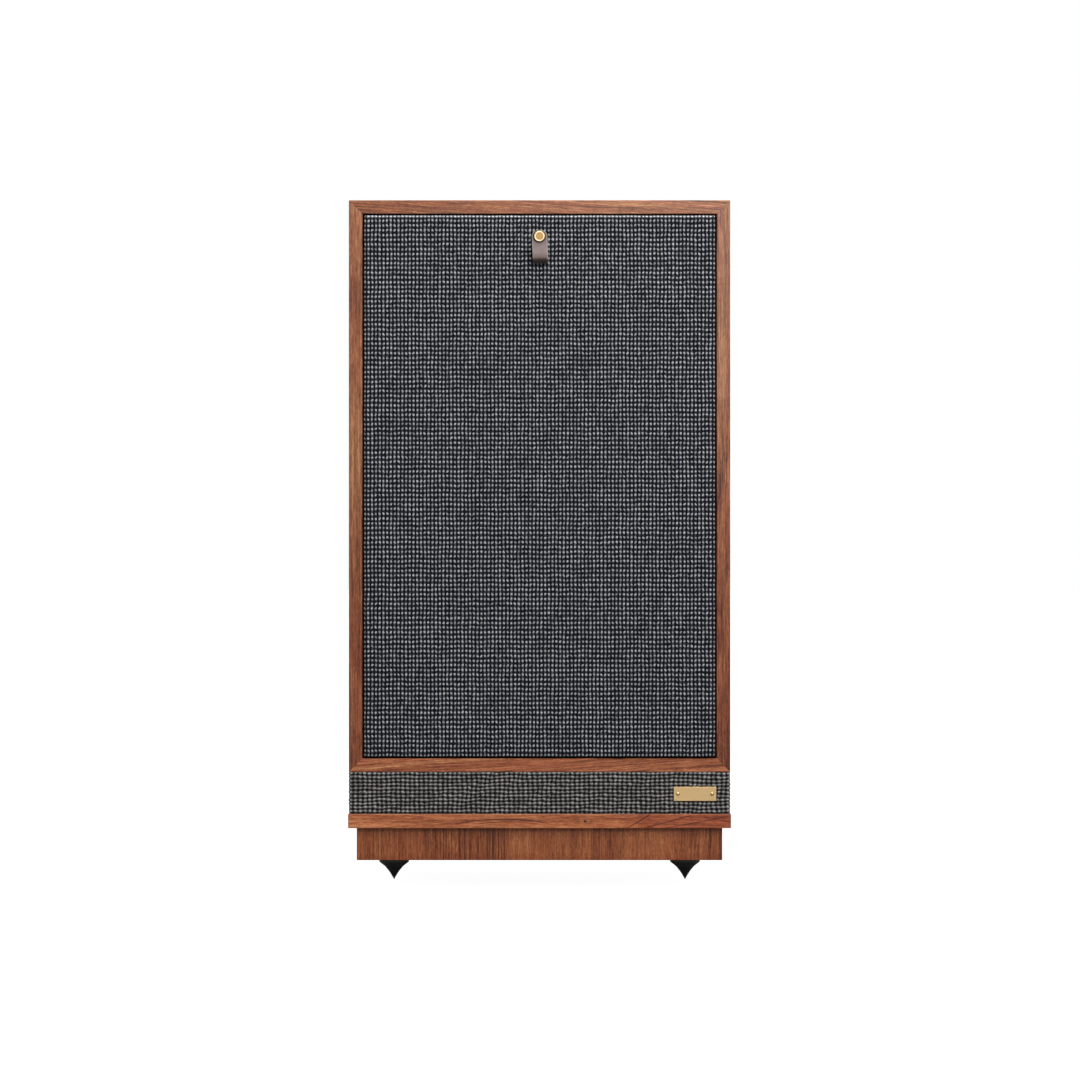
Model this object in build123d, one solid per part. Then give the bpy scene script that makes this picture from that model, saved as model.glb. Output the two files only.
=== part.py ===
from build123d import *
import math
import os

# Floorstanding loudspeaker: wide walnut cabinet with an inset cloth grille, a cloth-covered
# vent band, a base board, a recessed plinth and four spikes.
# Millimetres. +Z up, -Y is the front, +X is to the right seen from the front.
# Origin: on the floor, under the middle of the whole object's box. Heights are drafted from
# a datum 133.5 below the cabinet, and everything is lifted so the floor is at zero at the end.

# ---------------------------------------------------------------- driving dimensions
CAB_W = 480.0            # cabinet width
CAB_D = 380.0            # cabinet depth
SPIKE_H = 27.5           # floor to plinth
PLINTH_H = 41.0
BASE_T = 18.0            # base board thickness
VENT_H = 52.8            # cloth-covered vent band
CAB_H = 719.5            # cabinet body height
T = 17.0                 # cabinet panel thickness
EDGE_R = 1.0             # eased edges of the walnut boards

TAB_PROUD = 13.3         # pull tab in front of the cabinet's front face
POST_PROUD = 23.2        # binding posts behind the cabinet's rear face
DEPTH = TAB_PROUD + CAB_D + POST_PROUD

Y_F = -DEPTH / 2 + TAB_PROUD      # cabinet front face
Y_B = Y_F + CAB_D                 # cabinet rear face
FLOOR = 133.5 - VENT_H - BASE_T - PLINTH_H - SPIKE_H      # the floor, from the datum
Z_PL = FLOOR + SPIKE_H            # plinth underside
Z_BASE = Z_PL + PLINTH_H          # base board underside
Z_VENT = Z_BASE + BASE_T          # vent band underside
Z_CAB = Z_VENT + VENT_H           # cabinet underside
Z_TOP = Z_CAB + CAB_H             # cabinet top
HX = CAB_W / 2
IX = HX - T                       # inside half width
IZ0, IZ1 = Z_CAB + T, Z_TOP - T   # inside height

REAR_T = 18.0
BAF_T = 22.0
RECESS = 15.0                     # cabinet front face back to the baffle's front face
Y_BF = Y_F + RECESS               # baffle front face
Y_BB = Y_BF + BAF_T               # baffle back face
Y_RI = Y_B - REAR_T               # rear panel inside face

GR_GAP = 2.0                      # reveal round the grille
CLOTH_T = 1.5
GR_PROUD = 3.0                    # grille cloth in front of the cabinet's front face
GR_RAIL = 36.0                    # grille frame rail width

DRV_Z = 590.0                     # driver axis height
PORT_R, PORT_T = 50.0, 3.0
PORT_TOP = 300.0

SPIKE_R = 18.9
SPIKE_X = 185.0
PL_X = 230.5                      # plinth half width
PL_Y0, PL_Y1 = Y_F + 9.5, Y_B - 9.5
SPIKE_Y = (PL_Y0 + 46.0, PL_Y1 - 46.0)
STUD_R = 4.0                      # M8 spike stud

STUD_Z = 807.0                    # pull tab's stud height
TAB_W = 19.6

POST_X, POST_Z = 19.0, 225.0      # binding posts: two, 38 mm apart

NAME_X, NAME_Z = 195.6, 106.0
NAME_W, NAME_H, NAME_T = 53.6, 17.8, 1.2
PIN_DX = 21.5

os.makedirs("parts", exist_ok=True)
parts = {}


# ---------------------------------------------------------------- helpers
def box(x0, x1, y0, y1, z0, z1):
    return Pos((x0 + x1) / 2, (y0 + y1) / 2, (z0 + z1) / 2) * Box(x1 - x0, y1 - y0, z1 - z0)


def cyl_y(r, y0, y1, x, z):
    return Pos(x, (y0 + y1) / 2, z) * Rot(90, 0, 0) * Cylinder(r, y1 - y0)


def cyl_z(r, z0, z1, x, y):
    return Pos(x, y, (z0 + z1) / 2) * Cylinder(r, z1 - z0)


def cyl_x(r, x0, x1, y, z):
    return Pos((x0 + x1) / 2, y, z) * Rot(0, 90, 0) * Cylinder(r, x1 - x0)


def turned_y(points, x, z, y0):
    """Solid turned about a line along Y. points are (radius, distance behind y0)."""
    face = make_face(Polyline(*[(r, s, 0) for r, s in points], close=True))
    return Pos(x, y0, z) * revolve(face, Axis.Y, 360)


def turned_z(points, x, y, z0):
    """Solid turned about a line along Z. points are (radius, height above z0)."""
    face = make_face(Polyline(*[(r, 0, h) for r, h in points], close=True))
    return Pos(x, y, z0) * revolve(face, Axis.Z, 360)


def prism_y(points, y0, y1):
    """Solid with an XZ outline, from y0 to y1."""
    face = make_face(Polyline(*[(x, 0, z) for x, z in points], close=True))
    return Pos(0, y0, 0) * extrude(face, amount=y1 - y0, dir=(0, 1, 0))


def prism_z(points, z0, z1):
    """Solid with an XY outline, from z0 to z1."""
    face = make_face(Polyline(*[(x, y, 0) for x, y in points], close=True))
    return Pos(0, 0, z0) * extrude(face, amount=z1 - z0, dir=(0, 0, 1))


def group(items):
    return Compound(children=list(items))


def keep(name, shape):
    parts[name] = shape


# ---------------------------------------------------------------- cabinet panels
# Four boards mitred into a tube, so the mitres show at the front corners. The tube's
# front and rear edges are eased before it is cut into boards.
tube = box(-HX, HX, Y_F, Y_B, Z_CAB, Z_TOP)
tube = fillet(tube.edges(), EDGE_R)
tube = tube - box(-IX, IX, Y_F - 1, Y_B + 1, IZ0, IZ1)
front_inner = [
    e for e in tube.edges()
    if abs(e.center().Y - Y_F) < 0.01
    and abs(e.center().X) < IX + 0.1 and IZ0 - 0.1 < e.center().Z < IZ1 + 0.1
    and (abs(abs(e.center().X) - IX) < 0.1 or abs(e.center().Z - IZ0) < 0.1 or abs(e.center().Z - IZ1) < 0.1)
]
tube = chamfer(front_inner, 0.6)

FAR = 20.0
mid_x, zt, zb = IX - 60, Z_TOP, Z_CAB
wedge_top = prism_y([(-HX - FAR, zt + FAR), (HX + FAR, zt + FAR), (mid_x, zt - (HX - mid_x)), (-mid_x, zt - (HX - mid_x))], Y_F - 5, Y_B + 5)
wedge_bot = prism_y([(-HX - FAR, zb - FAR), (HX + FAR, zb - FAR), (mid_x, zb + (HX - mid_x)), (-mid_x, zb + (HX - mid_x))], Y_F - 5, Y_B + 5)
top_panel = tube & wedge_top
bottom_panel = tube & wedge_bot
sides = tube - wedge_top - wedge_bot
left_side = sides & box(-HX - 5, 0, Y_F - 5, Y_B + 5, 0, Z_TOP + 5)
right_side = sides & box(0, HX + 5, Y_F - 5, Y_B + 5, 0, Z_TOP + 5)

Y_MID = (Y_F + Y_B) / 2
bolt_xy = [(sx * 200.0, yy) for sx in (-1, 1) for yy in (Y_F + 38.0, Y_B - 38.0)]

bottom_panel = bottom_panel - cyl_z(PORT_R + PORT_T, Z_CAB - 5, IZ0 + 5, 0, Y_MID)
bolt_holes = [cyl_z(3.1, Z_CAB - 1, Z_CAB + 14, x, y) for x, y in bolt_xy]
for h in bolt_holes:
    bottom_panel = bottom_panel - h
keep("top_panel", top_panel)
keep("bottom_panel", bottom_panel)
keep("left_side_panel", left_side)
keep("right_side_panel", right_side)

# Rear panel, inset flush between the four boards, with the terminals' cut-out.
rear = box(-IX, IX, Y_RI, Y_B, IZ0, IZ1)
rear = rear - box(-36, 36, Y_RI - 1, Y_B + 1, POST_Z - 26, POST_Z + 26)
plate_screw_xz = [(sx * 48.0, POST_Z + sz * 36.0) for sx in (-1, 1) for sz in (-1, 1)]
for x, z in plate_screw_xz:
    rear = rear - cyl_y(1.65, Y_B - 13, Y_B + 1, x, z)
keep("rear_panel", rear)

# Front baffle, set back for the grille. The driver sits in a rebate, flush with the face.
FL_R, CUT_R = 135.0, 121.6
baffle = box(-IX, IX, Y_BF, Y_BB, IZ0, IZ1)
baffle = baffle - cyl_y(CUT_R, Y_BF - 1, Y_BB + 1, 0, DRV_Z) - cyl_y(FL_R + 0.5, Y_BF - 1, Y_BF + 6, 0, DRV_Z)
bolt_c = 128.0
drv_bolt_xz = [(bolt_c * math.cos(math.radians(22.5 + 45 * k)), DRV_Z + bolt_c * math.sin(math.radians(22.5 + 45 * k))) for k in range(8)]
for x, z in drv_bolt_xz:
    baffle = baffle - cyl_y(2.6, Y_BF - 1, Y_BF + 20.5, x, z)
mag_xz = [(sx * (IX - 20.0), z) for sx in (-1, 1) for z in (IZ0 + 60.0, (IZ0 + IZ1) / 2, IZ1 - 60.0)]
for x, z in mag_xz:
    baffle = baffle - cyl_y(7.05, Y_BF - 1, Y_BF + 2.0, x, z)
keep("front_baffle", baffle)
keep("magnet_strike_discs", group([cyl_y(7.0, Y_BF, Y_BF + 2.0, x, z) for x, z in mag_xz]))

# Two window braces across the inside.
BR_T = 18.0
braces = []
for z0 in (430.0, 735.0):
    b = box(-IX, IX, Y_BB, Y_RI, z0, z0 + BR_T)
    w = box(-IX + 50, IX - 50, Y_BB + 50, Y_RI - 50, z0 - 1, z0 + BR_T + 1)
    w = fillet(w.edges().filter_by(Axis.Z), 30)
    braces.append(b - w)
keep("window_braces", group(braces))

# Damping pads, glued to the side walls and the rear panel between the braces.
side_pads = []
for sx in (-1, 1):
    p = box(-12.5, 12.5, Y_BB + 12, Y_RI - 30, 455, 728)
    p = Pos(sx * (IX - 12.5), 0, 0) * p
    side_pads.append(p)
keep("side_damping_pads", group(side_pads))
rp = box(-180, 180, Y_RI - 25, Y_RI, 455, 728)
keep("rear_damping_pad", rp)

# ---------------------------------------------------------------- driver (coaxial, 10 inch)
S0 = Y_BF
basket = turned_y([
    (FL_R, 0), (FL_R, 5), (121, 5), (118.5, 14), (79, 62), (76, 80), (30, 80), (30, 75),
    (66, 75), (66, 62), (74, 62), (112, 14), (112, 10), (117, 10), (117, 0)], 0, DRV_Z, S0)
win = turned_y([(130, 20), (130, 56), (50, 56), (50, 20)], 0, DRV_Z, S0)
for k in range(6):
    a = math.radians(30 + 60 * k)
    half = math.radians(20)
    far = 160
    pie = prism_y([(0, 0), (far * math.cos(a - half), far * math.sin(a - half)), (far * 1.1 * math.cos(a), far * 1.1 * math.sin(a)), (far * math.cos(a + half), far * math.sin(a + half))], S0 + 20, S0 + 56)
    basket = basket - (win & (Pos(0, 0, DRV_Z) * pie))
for x, z in drv_bolt_xz:
    basket = basket - cyl_y(2.7, S0 - 1, S0 + 7, x, z) - cyl_y(4.6, S0 - 1, S0 + 3.0, x, z)
keep("driver_basket", basket)

gasket = turned_y([(134.5, 5), (134.5, 6), (122, 6), (122, 5)], 0, DRV_Z, S0)
for x, z in drv_bolt_xz:
    gasket = gasket - cyl_y(2.8, S0 + 4, S0 + 7, x, z)
keep("driver_gasket", gasket)

bolts = []
for x, z in drv_bolt_xz:
    head = cyl_y(4.4, S0 + 0.2, S0 + 3.0, x, z) - (Pos(x, S0 + 1.0, z) * Rot(90, 0, 0) * extrude(RegularPolygon(2.0, 6), 2.0, both=True))
    bolts.append(head + cyl_y(2.5, S0 + 2.9, S0 + 20.0, x, z))
keep("driver_bolts", group(bolts))

# Paper cone, from the voice coil's neck to the surround. Slightly curved.
CONE_T = 1.3
n = 10
outer, inner = [], []
for i in range(n + 1):
    t = i / n
    r = 26.25 + (98.0 - 26.25) * t
    s = 54.0 + (10.6 - 54.0) * (t ** 0.86)
    outer.append((r, s))
    inner.append((r, s + CONE_T))
cone = turned_y(outer + inner[::-1], 0, DRV_Z, S0)
keep("woofer_cone", cone)

coil = turned_y([(25.7, 53.4), (26.2, 53.4), (26.2, 78), (26.75, 78), (26.75, 91), (26.2, 91), (26.2, 96), (25.7, 96)], 0, DRV_Z, S0)
keep("voice_coil", coil)

# Half-roll surround, lips on the cone's rim and on the basket's ledge.
SUR_T = 0.8
roll_o, roll_i = [], []
for i in range(13):
    a = math.pi * i / 12
    roll_o.append((105.2 - 7.6 * math.cos(a), 9.4 - 7.6 * math.sin(a)))
    roll_i.append((105.2 - (7.6 - SUR_T) * math.cos(a), 9.4 - (7.6 - SUR_T) * math.sin(a)))
pts = [(95.6, 9.5)] + roll_o[1:-1] + [(112.9, 9.2), (116.6, 9.2), (116.6, 9.95), (112.0, 9.95)] + roll_i[1:-1][::-1] + [(98.3, 10.4), (95.6, 10.4)]
surround = turned_y(pts, 0, DRV_Z, S0) - turned_y([(p[0], p[1] - 0.05) for p in outer] + [(p[0], p[1] + 0.05) for p in inner[::-1]], 0, DRV_Z, S0)
surround = max(surround.solids(), key=lambda q: q.volume)
keep("cone_surround", surround)

# Corrugated spider between the coil former and the basket's inner ledge.
top_line, bot_line = [], []
for i in range(33):
    t = i / 32
    r = 26.3 + (66.0 - 26.3) * t
    amp = 1.6 if 0.06 < t < 0.97 else 0.0
    s = 61.2 + amp * math.sin(2 * math.pi * 5 * (t - 0.06) / 0.91)
    top_line.append((r, s))
    bot_line.append((r, s + 0.7))
top_line += [(73.2, 61.2)]
bot_line += [(73.2, 61.9)]
spider = turned_y(top_line + bot_line[::-1], 0, DRV_Z, S0)
keep("cone_spider", spider)

keep("magnet_top_plate", turned_y([(27.3, 80), (66, 80), (66, 88), (27.3, 88)], 0, DRV_Z, S0))
keep("magnet_ring", turned_y([(40, 88), (75, 88), (75, 108), (40, 108)], 0, DRV_Z, S0))
keep("pole_piece", turned_y([(10, 79), (25.0, 79), (25.0, 108), (66, 108), (66, 116), (10, 116)], 0, DRV_Z, S0))

horn_o = [(20.0, 79), (20.0, 58)] + [(20.0 + 11.0 * ((58 - s) / 18.0) ** 1.6, s) for s in (55, 52, 49, 46, 43, 40)]
horn_i = [(29.8, 40)] + [(10.0 + 19.8 * ((79 - s) / 39.0) ** 1.7, s) for s in (44, 48, 52, 56, 61, 67, 73, 79)]
keep("tweeter_horn", turned_y(horn_o + horn_i, 0, DRV_Z, S0))

# Compression tweeter behind the pole piece: a closed magnet housing round a small dome.
tw = turned_y([(10, 116), (46, 116), (46, 146), (0, 146), (0, 130), (24, 130), (24, 120), (10, 120)], 0, DRV_Z, S0)
keep("tweeter_magnet", tw)
dome_o = [(20.0 * math.sin(a), 129.0 - 3.0 - 3.6 * (math.cos(a) - math.cos(1.2)) / (1 - math.cos(1.2))) for a in [0, 0.2, 0.4, 0.6, 0.8, 1.0, 1.2]]
dome_pts = [(p[0], p[1]) for p in dome_o] + [(22.6, 126.0), (22.6, 126.5), (18.6, 126.5)] + [(p[0], p[1] + 0.45) for p in dome_o[::-1][1:]]
keep("tweeter_diaphragm", turned_y(dome_pts, 0, DRV_Z, S0))

# ---------------------------------------------------------------- port and vent
port = turned_z([
    (PORT_R, 0), (PORT_R + PORT_T, 0), (PORT_R + PORT_T, T), (PORT_R + PORT_T + 9, T), (PORT_R + PORT_T + 9, T + 4),
    (PORT_R + PORT_T, T + 4), (PORT_R + PORT_T, PORT_TOP - Z_CAB), (PORT_R, PORT_TOP - Z_CAB)], 0, Y_MID, Z_CAB)
keep("port_tube", port)

dif = [(0, 0), (98.0, 0)]
for i in range(13):
    t = i / 12
    dif.append((95.0 * (1 - t) ** 2.1 + 3.0, 2.0 + 43.0 * t ** 0.9))
dif.append((0, 45.5))
diffuser = turned_z(dif, 0, Y_MID, Z_VENT)
keep("diffuser_cone", diffuser)

# Vent frame: four slotted boards, mitred, 12 thick. Cloth strips lie on their faces.
VX = HX - 0.9                 # vent frame half width, cloth outside it
VY0, VY1 = Y_F + 0.4, Y_B - 0.4
VT = 12.0
z0, z1 = Z_VENT, Z_CAB
fb = prism_z([(-VX, VY0), (VX, VY0), (VX - VT, VY0 + VT), (-VX + VT, VY0 + VT)], z0, z1)
rb = prism_z([(-VX, VY1), (VX, VY1), (VX - VT, VY1 - VT), (-VX + VT, VY1 - VT)], z0, z1)
lb = prism_z([(-VX, VY0), (-VX, VY1), (-VX + VT, VY1 - VT), (-VX + VT, VY0 + VT)], z0, z1)
rr = prism_z([(VX, VY0), (VX, VY1), (VX - VT, VY1 - VT), (VX - VT, VY0 + VT)], z0, z1)
for k in range(4):
    cx = -114.0 + 76.0 * k
    fb = fb - box(cx - 31, cx + 31, VY0 - 1, VY0 + VT + 1, z0 + 8, z1 - 8)
    rb = rb - box(cx - 31, cx + 31, VY1 - VT - 1, VY1 + 1, z0 + 8, z1 - 8)
for k in range(3):
    cy = Y_MID - 76.0 + 76.0 * k
    lb = lb - box(-VX - 1, -VX + VT + 1, cy - 31, cy + 31, z0 + 8, z1 - 8)
    rr = rr - box(VX - VT - 1, VX + 1, cy - 31, cy + 31, z0 + 8, z1 - 8)
pin_x = (NAME_X - PIN_DX, NAME_X + PIN_DX)
for x in pin_x:
    fb = fb - cyl_y(0.85, VY0 - 1, VY0 + 8.5, x, NAME_Z)
keep("vent_frame", group([fb, rb, lb, rr]))

ZC0, ZC1 = Z_VENT + 0.3, Z_CAB - 0.3
cf = box(-VX - CLOTH_T, VX + CLOTH_T, VY0 - CLOTH_T, VY0, ZC0, ZC1)
for x in pin_x:
    cf = cf - cyl_y(0.85, VY0 - 3, VY0 + 1, x, NAME_Z)
cr = box(-VX - CLOTH_T, VX + CLOTH_T, VY1, VY1 + CLOTH_T, ZC0, ZC1)
cl = box(-VX - CLOTH_T, -VX, VY0, VY1, ZC0, ZC1)
cc = box(VX, VX + CLOTH_T, VY0, VY1, ZC0, ZC1)
keep("vent_cloth", group([cf, cr, cl, cc]))

# Corner spacers carry the cabinet on the base board, one long bolt through each.
spacers, cbolts = [], []
for x, y in bolt_xy:
    s = box(x - 17, x + 17, y - 17, y + 17, z0, z1)
    s = fillet(s.edges().filter_by(Axis.Z), 3) - cyl_z(3.3, z0 - 1, z1 + 1, x, y)
    spacers.append(s)
    hexa = Pos(x, y, Z_BASE + 6.0) * extrude(RegularPolygon(6.5, 6), 5.0) - cyl_z(2.6, Z_BASE + 5, Z_BASE + 9, x, y)
    cbolts.append((hexa + cyl_z(3.0, Z_BASE + 10.9, Z_CAB + 13.0, x, y)))
keep("corner_spacers", group(spacers))
keep("cabinet_bolts", group(cbolts))

# ---------------------------------------------------------------- nameplate
PY = VY0 - CLOTH_T
plate = box(NAME_X - NAME_W / 2, NAME_X + NAME_W / 2, PY - NAME_T, PY, NAME_Z - NAME_H / 2, NAME_Z + NAME_H / 2)
plate = chamfer(plate.faces().sort_by(Axis.Y)[0].edges(), 0.3)
pins = []
for x in pin_x:
    plate = plate - cyl_y(0.9, PY - 3, PY + 1, x, NAME_Z)
    dome = [(0, -2.0)] + [(2.35 * math.sin(a), -0.1 - 1.9 * math.cos(a)) for a in (0.35, 0.7, 1.0, 1.25, 1.5)] + [(2.35, 0)]
    dome = dome + [(0.8, 0), (0.8, NAME_T + CLOTH_T + 8.0), (0, NAME_T + CLOTH_T + 8.0)]
    pins.append(turned_y(dome, x, NAME_Z, PY - NAME_T))
keep("nameplate", plate)
keep("nameplate_pins", group(pins))

# ---------------------------------------------------------------- base board and plinth
base = box(-HX - 1, HX + 1, Y_F - 1, Y_B + 1, Z_BASE, Z_VENT)
base = fillet(base.edges(), EDGE_R)
for x, y in bolt_xy:
    base = base - cyl_z(3.3, Z_BASE - 1, Z_VENT + 1, x, y) - cyl_z(7.5, Z_BASE - 1, Z_BASE + 11.0, x, y)
keep("base_board", base)

PT = 18.0
ring = box(-PL_X, PL_X, PL_Y0, PL_Y1, Z_PL, Z_BASE)
ring = fillet(ring.edges().filter_by(Axis.Z), EDGE_R)
ring = chamfer(ring.faces().sort_by(Axis.Z)[0].edges(), 0.6)
ring = ring - box(-PL_X + PT, PL_X - PT, PL_Y0 + PT, PL_Y1 - PT, Z_PL - 1, Z_BASE + 1)
m = 60.0
wf = prism_z([(-PL_X - FAR, PL_Y0 - FAR), (PL_X + FAR, PL_Y0 - FAR), (PL_X - m, PL_Y0 + m), (-PL_X + m, PL_Y0 + m)], Z_PL - 5, Z_BASE + 5)
wr = prism_z([(-PL_X - FAR, PL_Y1 + FAR), (PL_X + FAR, PL_Y1 + FAR), (PL_X - m, PL_Y1 - m), (-PL_X + m, PL_Y1 - m)], Z_PL - 5, Z_BASE + 5)
keep("plinth_front", ring & wf)
keep("plinth_rear", ring & wr)
ps = ring - wf - wr
keep("plinth_left", ps & box(-PL_X - 5, 0, PL_Y0 - 5, PL_Y1 + 5, 0, Z_VENT))
keep("plinth_right", ps & box(0, PL_X + 5, PL_Y0 - 5, PL_Y1 + 5, 0, Z_VENT))

# Corner blocks inside the plinth hold the threaded inserts for the spikes.
spike_xy = {
    "front_left": (-SPIKE_X, SPIKE_Y[0]), "front_right": (SPIKE_X, SPIKE_Y[0]),
    "rear_left": (-SPIKE_X, SPIKE_Y[1]), "rear_right": (SPIKE_X, SPIKE_Y[1])}
blocks, inserts = [], []
for name, (x, y) in spike_xy.items():
    sx, sy = (1 if x > 0 else -1), (1 if y > Y_MID else -1)
    xa, xb = sorted((sx * (PL_X - PT), sx * (PL_X - PT - 62)))
    ya, yb = sorted(((PL_Y1 - PT) if sy > 0 else (PL_Y0 + PT), (PL_Y1 - PT - 62) if sy > 0 else (PL_Y0 + PT + 62)))
    b = box(xa, xb, ya, yb, Z_PL + 0.6, Z_BASE - 0.0)
    b = b - cyl_z(6.05, Z_PL - 1, Z_PL + 24, x, y) - cyl_z(4.6, Z_PL + 23, Z_PL + 36, x, y)
    for bx, by in bolt_xy:
        b = b - cyl_z(8.5, Z_BASE - 12, Z_BASE + 1, bx, by)
    blocks.append(b)
    ins = turned_z([(STUD_R + 0.08, 0.0), (9.0, 0.0), (9.0, 0.6), (6.0, 0.6), (6.0, 22.0), (STUD_R + 0.08, 22.0)], x, y, Z_PL)
    inserts.append(ins)
keep("plinth_corner_blocks", group(blocks))
keep("spike_inserts", group(inserts))

# Turned spikes: flange, concave cone and an M8 stud. The flange seats on the insert.
for name, (x, y) in spike_xy.items():
    sp = Spline((SPIKE_R - 0.2, 0, 22.0), (17.3, 0, 20.9), (14.6, 0, 18.8), (11.9, 0, 16.6), (9.2, 0, 13.6), (6.6, 0, 10.4), (4.2, 0, 6.8), (2.2, 0, 3.4), (0.7, 0, 0.7), (0.4, 0, 0))
    ln = Polyline((0.4, 0, 0), (0, 0, 0), (0, 0, SPIKE_H + 30), (3.4, 0, SPIKE_H + 30), (STUD_R, 0, SPIKE_H + 29.4), (STUD_R, 0, SPIKE_H), (SPIKE_R - 0.5, 0, SPIKE_H), (SPIKE_R, 0, SPIKE_H - 0.5), (SPIKE_R, 0, 22.3), (SPIKE_R - 0.2, 0, 22.0))
    spike = Pos(x, y, FLOOR) * revolve(make_face([sp, ln]), Axis.Z, 360)
    keep("spike_" + name, spike)

# ---------------------------------------------------------------- grille
GX = IX - GR_GAP              # cloth half width
GZ0, GZ1 = IZ0 + GR_GAP, IZ1 - GR_GAP
Y_GF = Y_F - GR_PROUD         # cloth front
fx, fz0, fz1 = GX - 1.2, GZ0 + 1.2, GZ1 - 1.2
GY0, GY1 = Y_GF + CLOTH_T, Y_BF - 0.3
gf = box(-fx, fx, GY0, GY1, fz0, fz1)
CR_Z = 414.0
low_w = box(-fx + GR_RAIL, fx - GR_RAIL, GY0 - 1, GY1 + 1, fz0 + GR_RAIL, CR_Z)
up_w = box(-fx + GR_RAIL, fx - GR_RAIL, GY0 - 1, GY1 + 1, CR_Z + GR_RAIL, fz1 - GR_RAIL)
gf = gf - fillet(low_w.edges().filter_by(Axis.Y), 6) - fillet(up_w.edges().filter_by(Axis.Y), 6)
gf = gf - cyl_y(2.05, GY0 - 1, GY1 + 1, 0, STUD_Z)
for x, z in mag_xz:
    gf = gf - cyl_y(6.05, GY1 - 4.0, GY1 + 1, x, z)
keep("grille_frame", gf)
keep("grille_magnets", group([cyl_y(6.0, GY1 - 4.0, GY1, x, z) for x, z in mag_xz]))
gc = box(-GX, GX, Y_GF, Y_GF + CLOTH_T, GZ0, GZ1) - cyl_y(2.05, Y_GF - 1, Y_GF + 3, 0, STUD_Z)
keep("grille_cloth", gc)

# Pull tab: one leather strip folded into a loop, both ends under the stud.
LT = 2.0
V0 = 0.3                      # air between the leather and the cloth


def tab_pt(v, h):
    return (0, Y_GF - V0 - v, STUD_Z + h)


o1 = Polyline(tab_pt(0, -27.0), tab_pt(0, 9.8), tab_pt(4.0, 9.8), tab_pt(4.0, -7.0))
o2 = Spline(tab_pt(4.0, -7.0), tab_pt(5.6, -12.5), tab_pt(8.6, -20.5), tab_pt(10.0, -27.5), tab_pt(8.6, -32.4), tab_pt(5.4, -34.2), tab_pt(1.8, -32.6), tab_pt(0, -27.0), tangents=[(0, 0, -1), (0, 0, 1)])
i1 = Polyline(tab_pt(2.0, -27.0), tab_pt(2.0, -8.6))
i2 = Spline(tab_pt(2.0, -8.6), tab_pt(3.9, -13.6), tab_pt(6.6, -20.9), tab_pt(8.0, -27.4), tab_pt(7.2, -30.8), tab_pt(5.2, -32.2), tab_pt(2.9, -31.0), tab_pt(2.0, -27.0), tangents=[(0, -0.25, -1), (0, 0, 1)])
tab = extrude(make_face([o1, o2]), amount=TAB_W / 2, dir=(1, 0, 0), both=True)
loop = extrude(make_face([i1, i2]), amount=TAB_W, dir=(1, 0, 0), both=True)
tab = tab - loop
round_end = cyl_y(TAB_W / 2, Y_GF - 15, Y_GF + 1, 0, STUD_Z) + box(-TAB_W / 2, TAB_W / 2, Y_GF - 15, Y_GF + 1, STUD_Z - 40, STUD_Z)
tab = tab & round_end
tab = tab - cyl_y(2.1, Y_GF - 15, Y_GF + 1, 0, STUD_Z)
keep("pull_tab", tab)

stud_pts = [(0, -7.6), (4.4, -7.6), (4.8, -8.1), (6.2, -8.1), (6.85, -7.5), (6.85, -5.2), (6.4, -4.6), (2.0, -4.6), (2.0, GY1 - Y_GF - 0.5), (0, GY1 - Y_GF - 0.5)]
keep("tab_stud", turned_y(stud_pts, 0, STUD_Z, Y_GF))

# ---------------------------------------------------------------- terminals
tp = box(-58, 58, Y_B, Y_B + 3.0, POST_Z - 45, POST_Z + 45)
tp = fillet(tp.edges().filter_by(Axis.Y), 6)
tp = chamfer(tp.faces().sort_by(Axis.Y)[-1].edges(), 0.5)
post_x = (-POST_X, POST_X)
for x in post_x:
    tp = tp - cyl_y(6.05, Y_B - 1, Y_B + 4, x, POST_Z)
screws = []
for x, z in plate_screw_xz:
    tp = tp - cyl_y(1.9, Y_B - 1, Y_B + 4, x, z)
    head = [(0, 1.9)] + [(3.4 * math.sin(a), 0.2 + 1.7 * math.cos(a)) for a in (0.4, 0.8, 1.1, 1.4)] + [(3.4, 0), (1.6, 0), (1.6, -15.0), (0, -15.0)]
    sc = turned_y(head, x, z, Y_B + 3.0)
    sc = sc - box(x - 0.45, x + 0.45, Y_B + 3.9, Y_B + 6, z - 2.2, z + 2.2) - box(x - 2.2, x + 2.2, Y_B + 3.9, Y_B + 6, z - 0.45, z + 0.45)
    screws.append(sc)
keep("terminal_plate", tp)
keep("terminal_plate_screws", group(screws))

studs, collars = [], []
for x in post_x:
    st = cyl_y(4.0, Y_B - 14.0, Y_B + 22.2, x, POST_Z) + cyl_y(7.0, Y_B - 8.0, Y_B - 4.0, x, POST_Z)
    st = st - cyl_y(2.0, Y_B + 5.2, Y_B + 23.0, x, POST_Z)
    st = st - cyl_x(1.75, x - 5, x + 5, Y_B + 11.4, POST_Z)
    studs.append(st)
    co = turned_y([(4.05, -4.0), (4.05, 8.0), (8.6, 8.0), (9.2, 7.4), (9.2, 3.0), (6.0, 3.0), (6.0, -4.0)], x, POST_Z, Y_B)
    collars.append(co)
keep("post_studs", group(studs))
keep("post_collars", group(collars))

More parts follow.
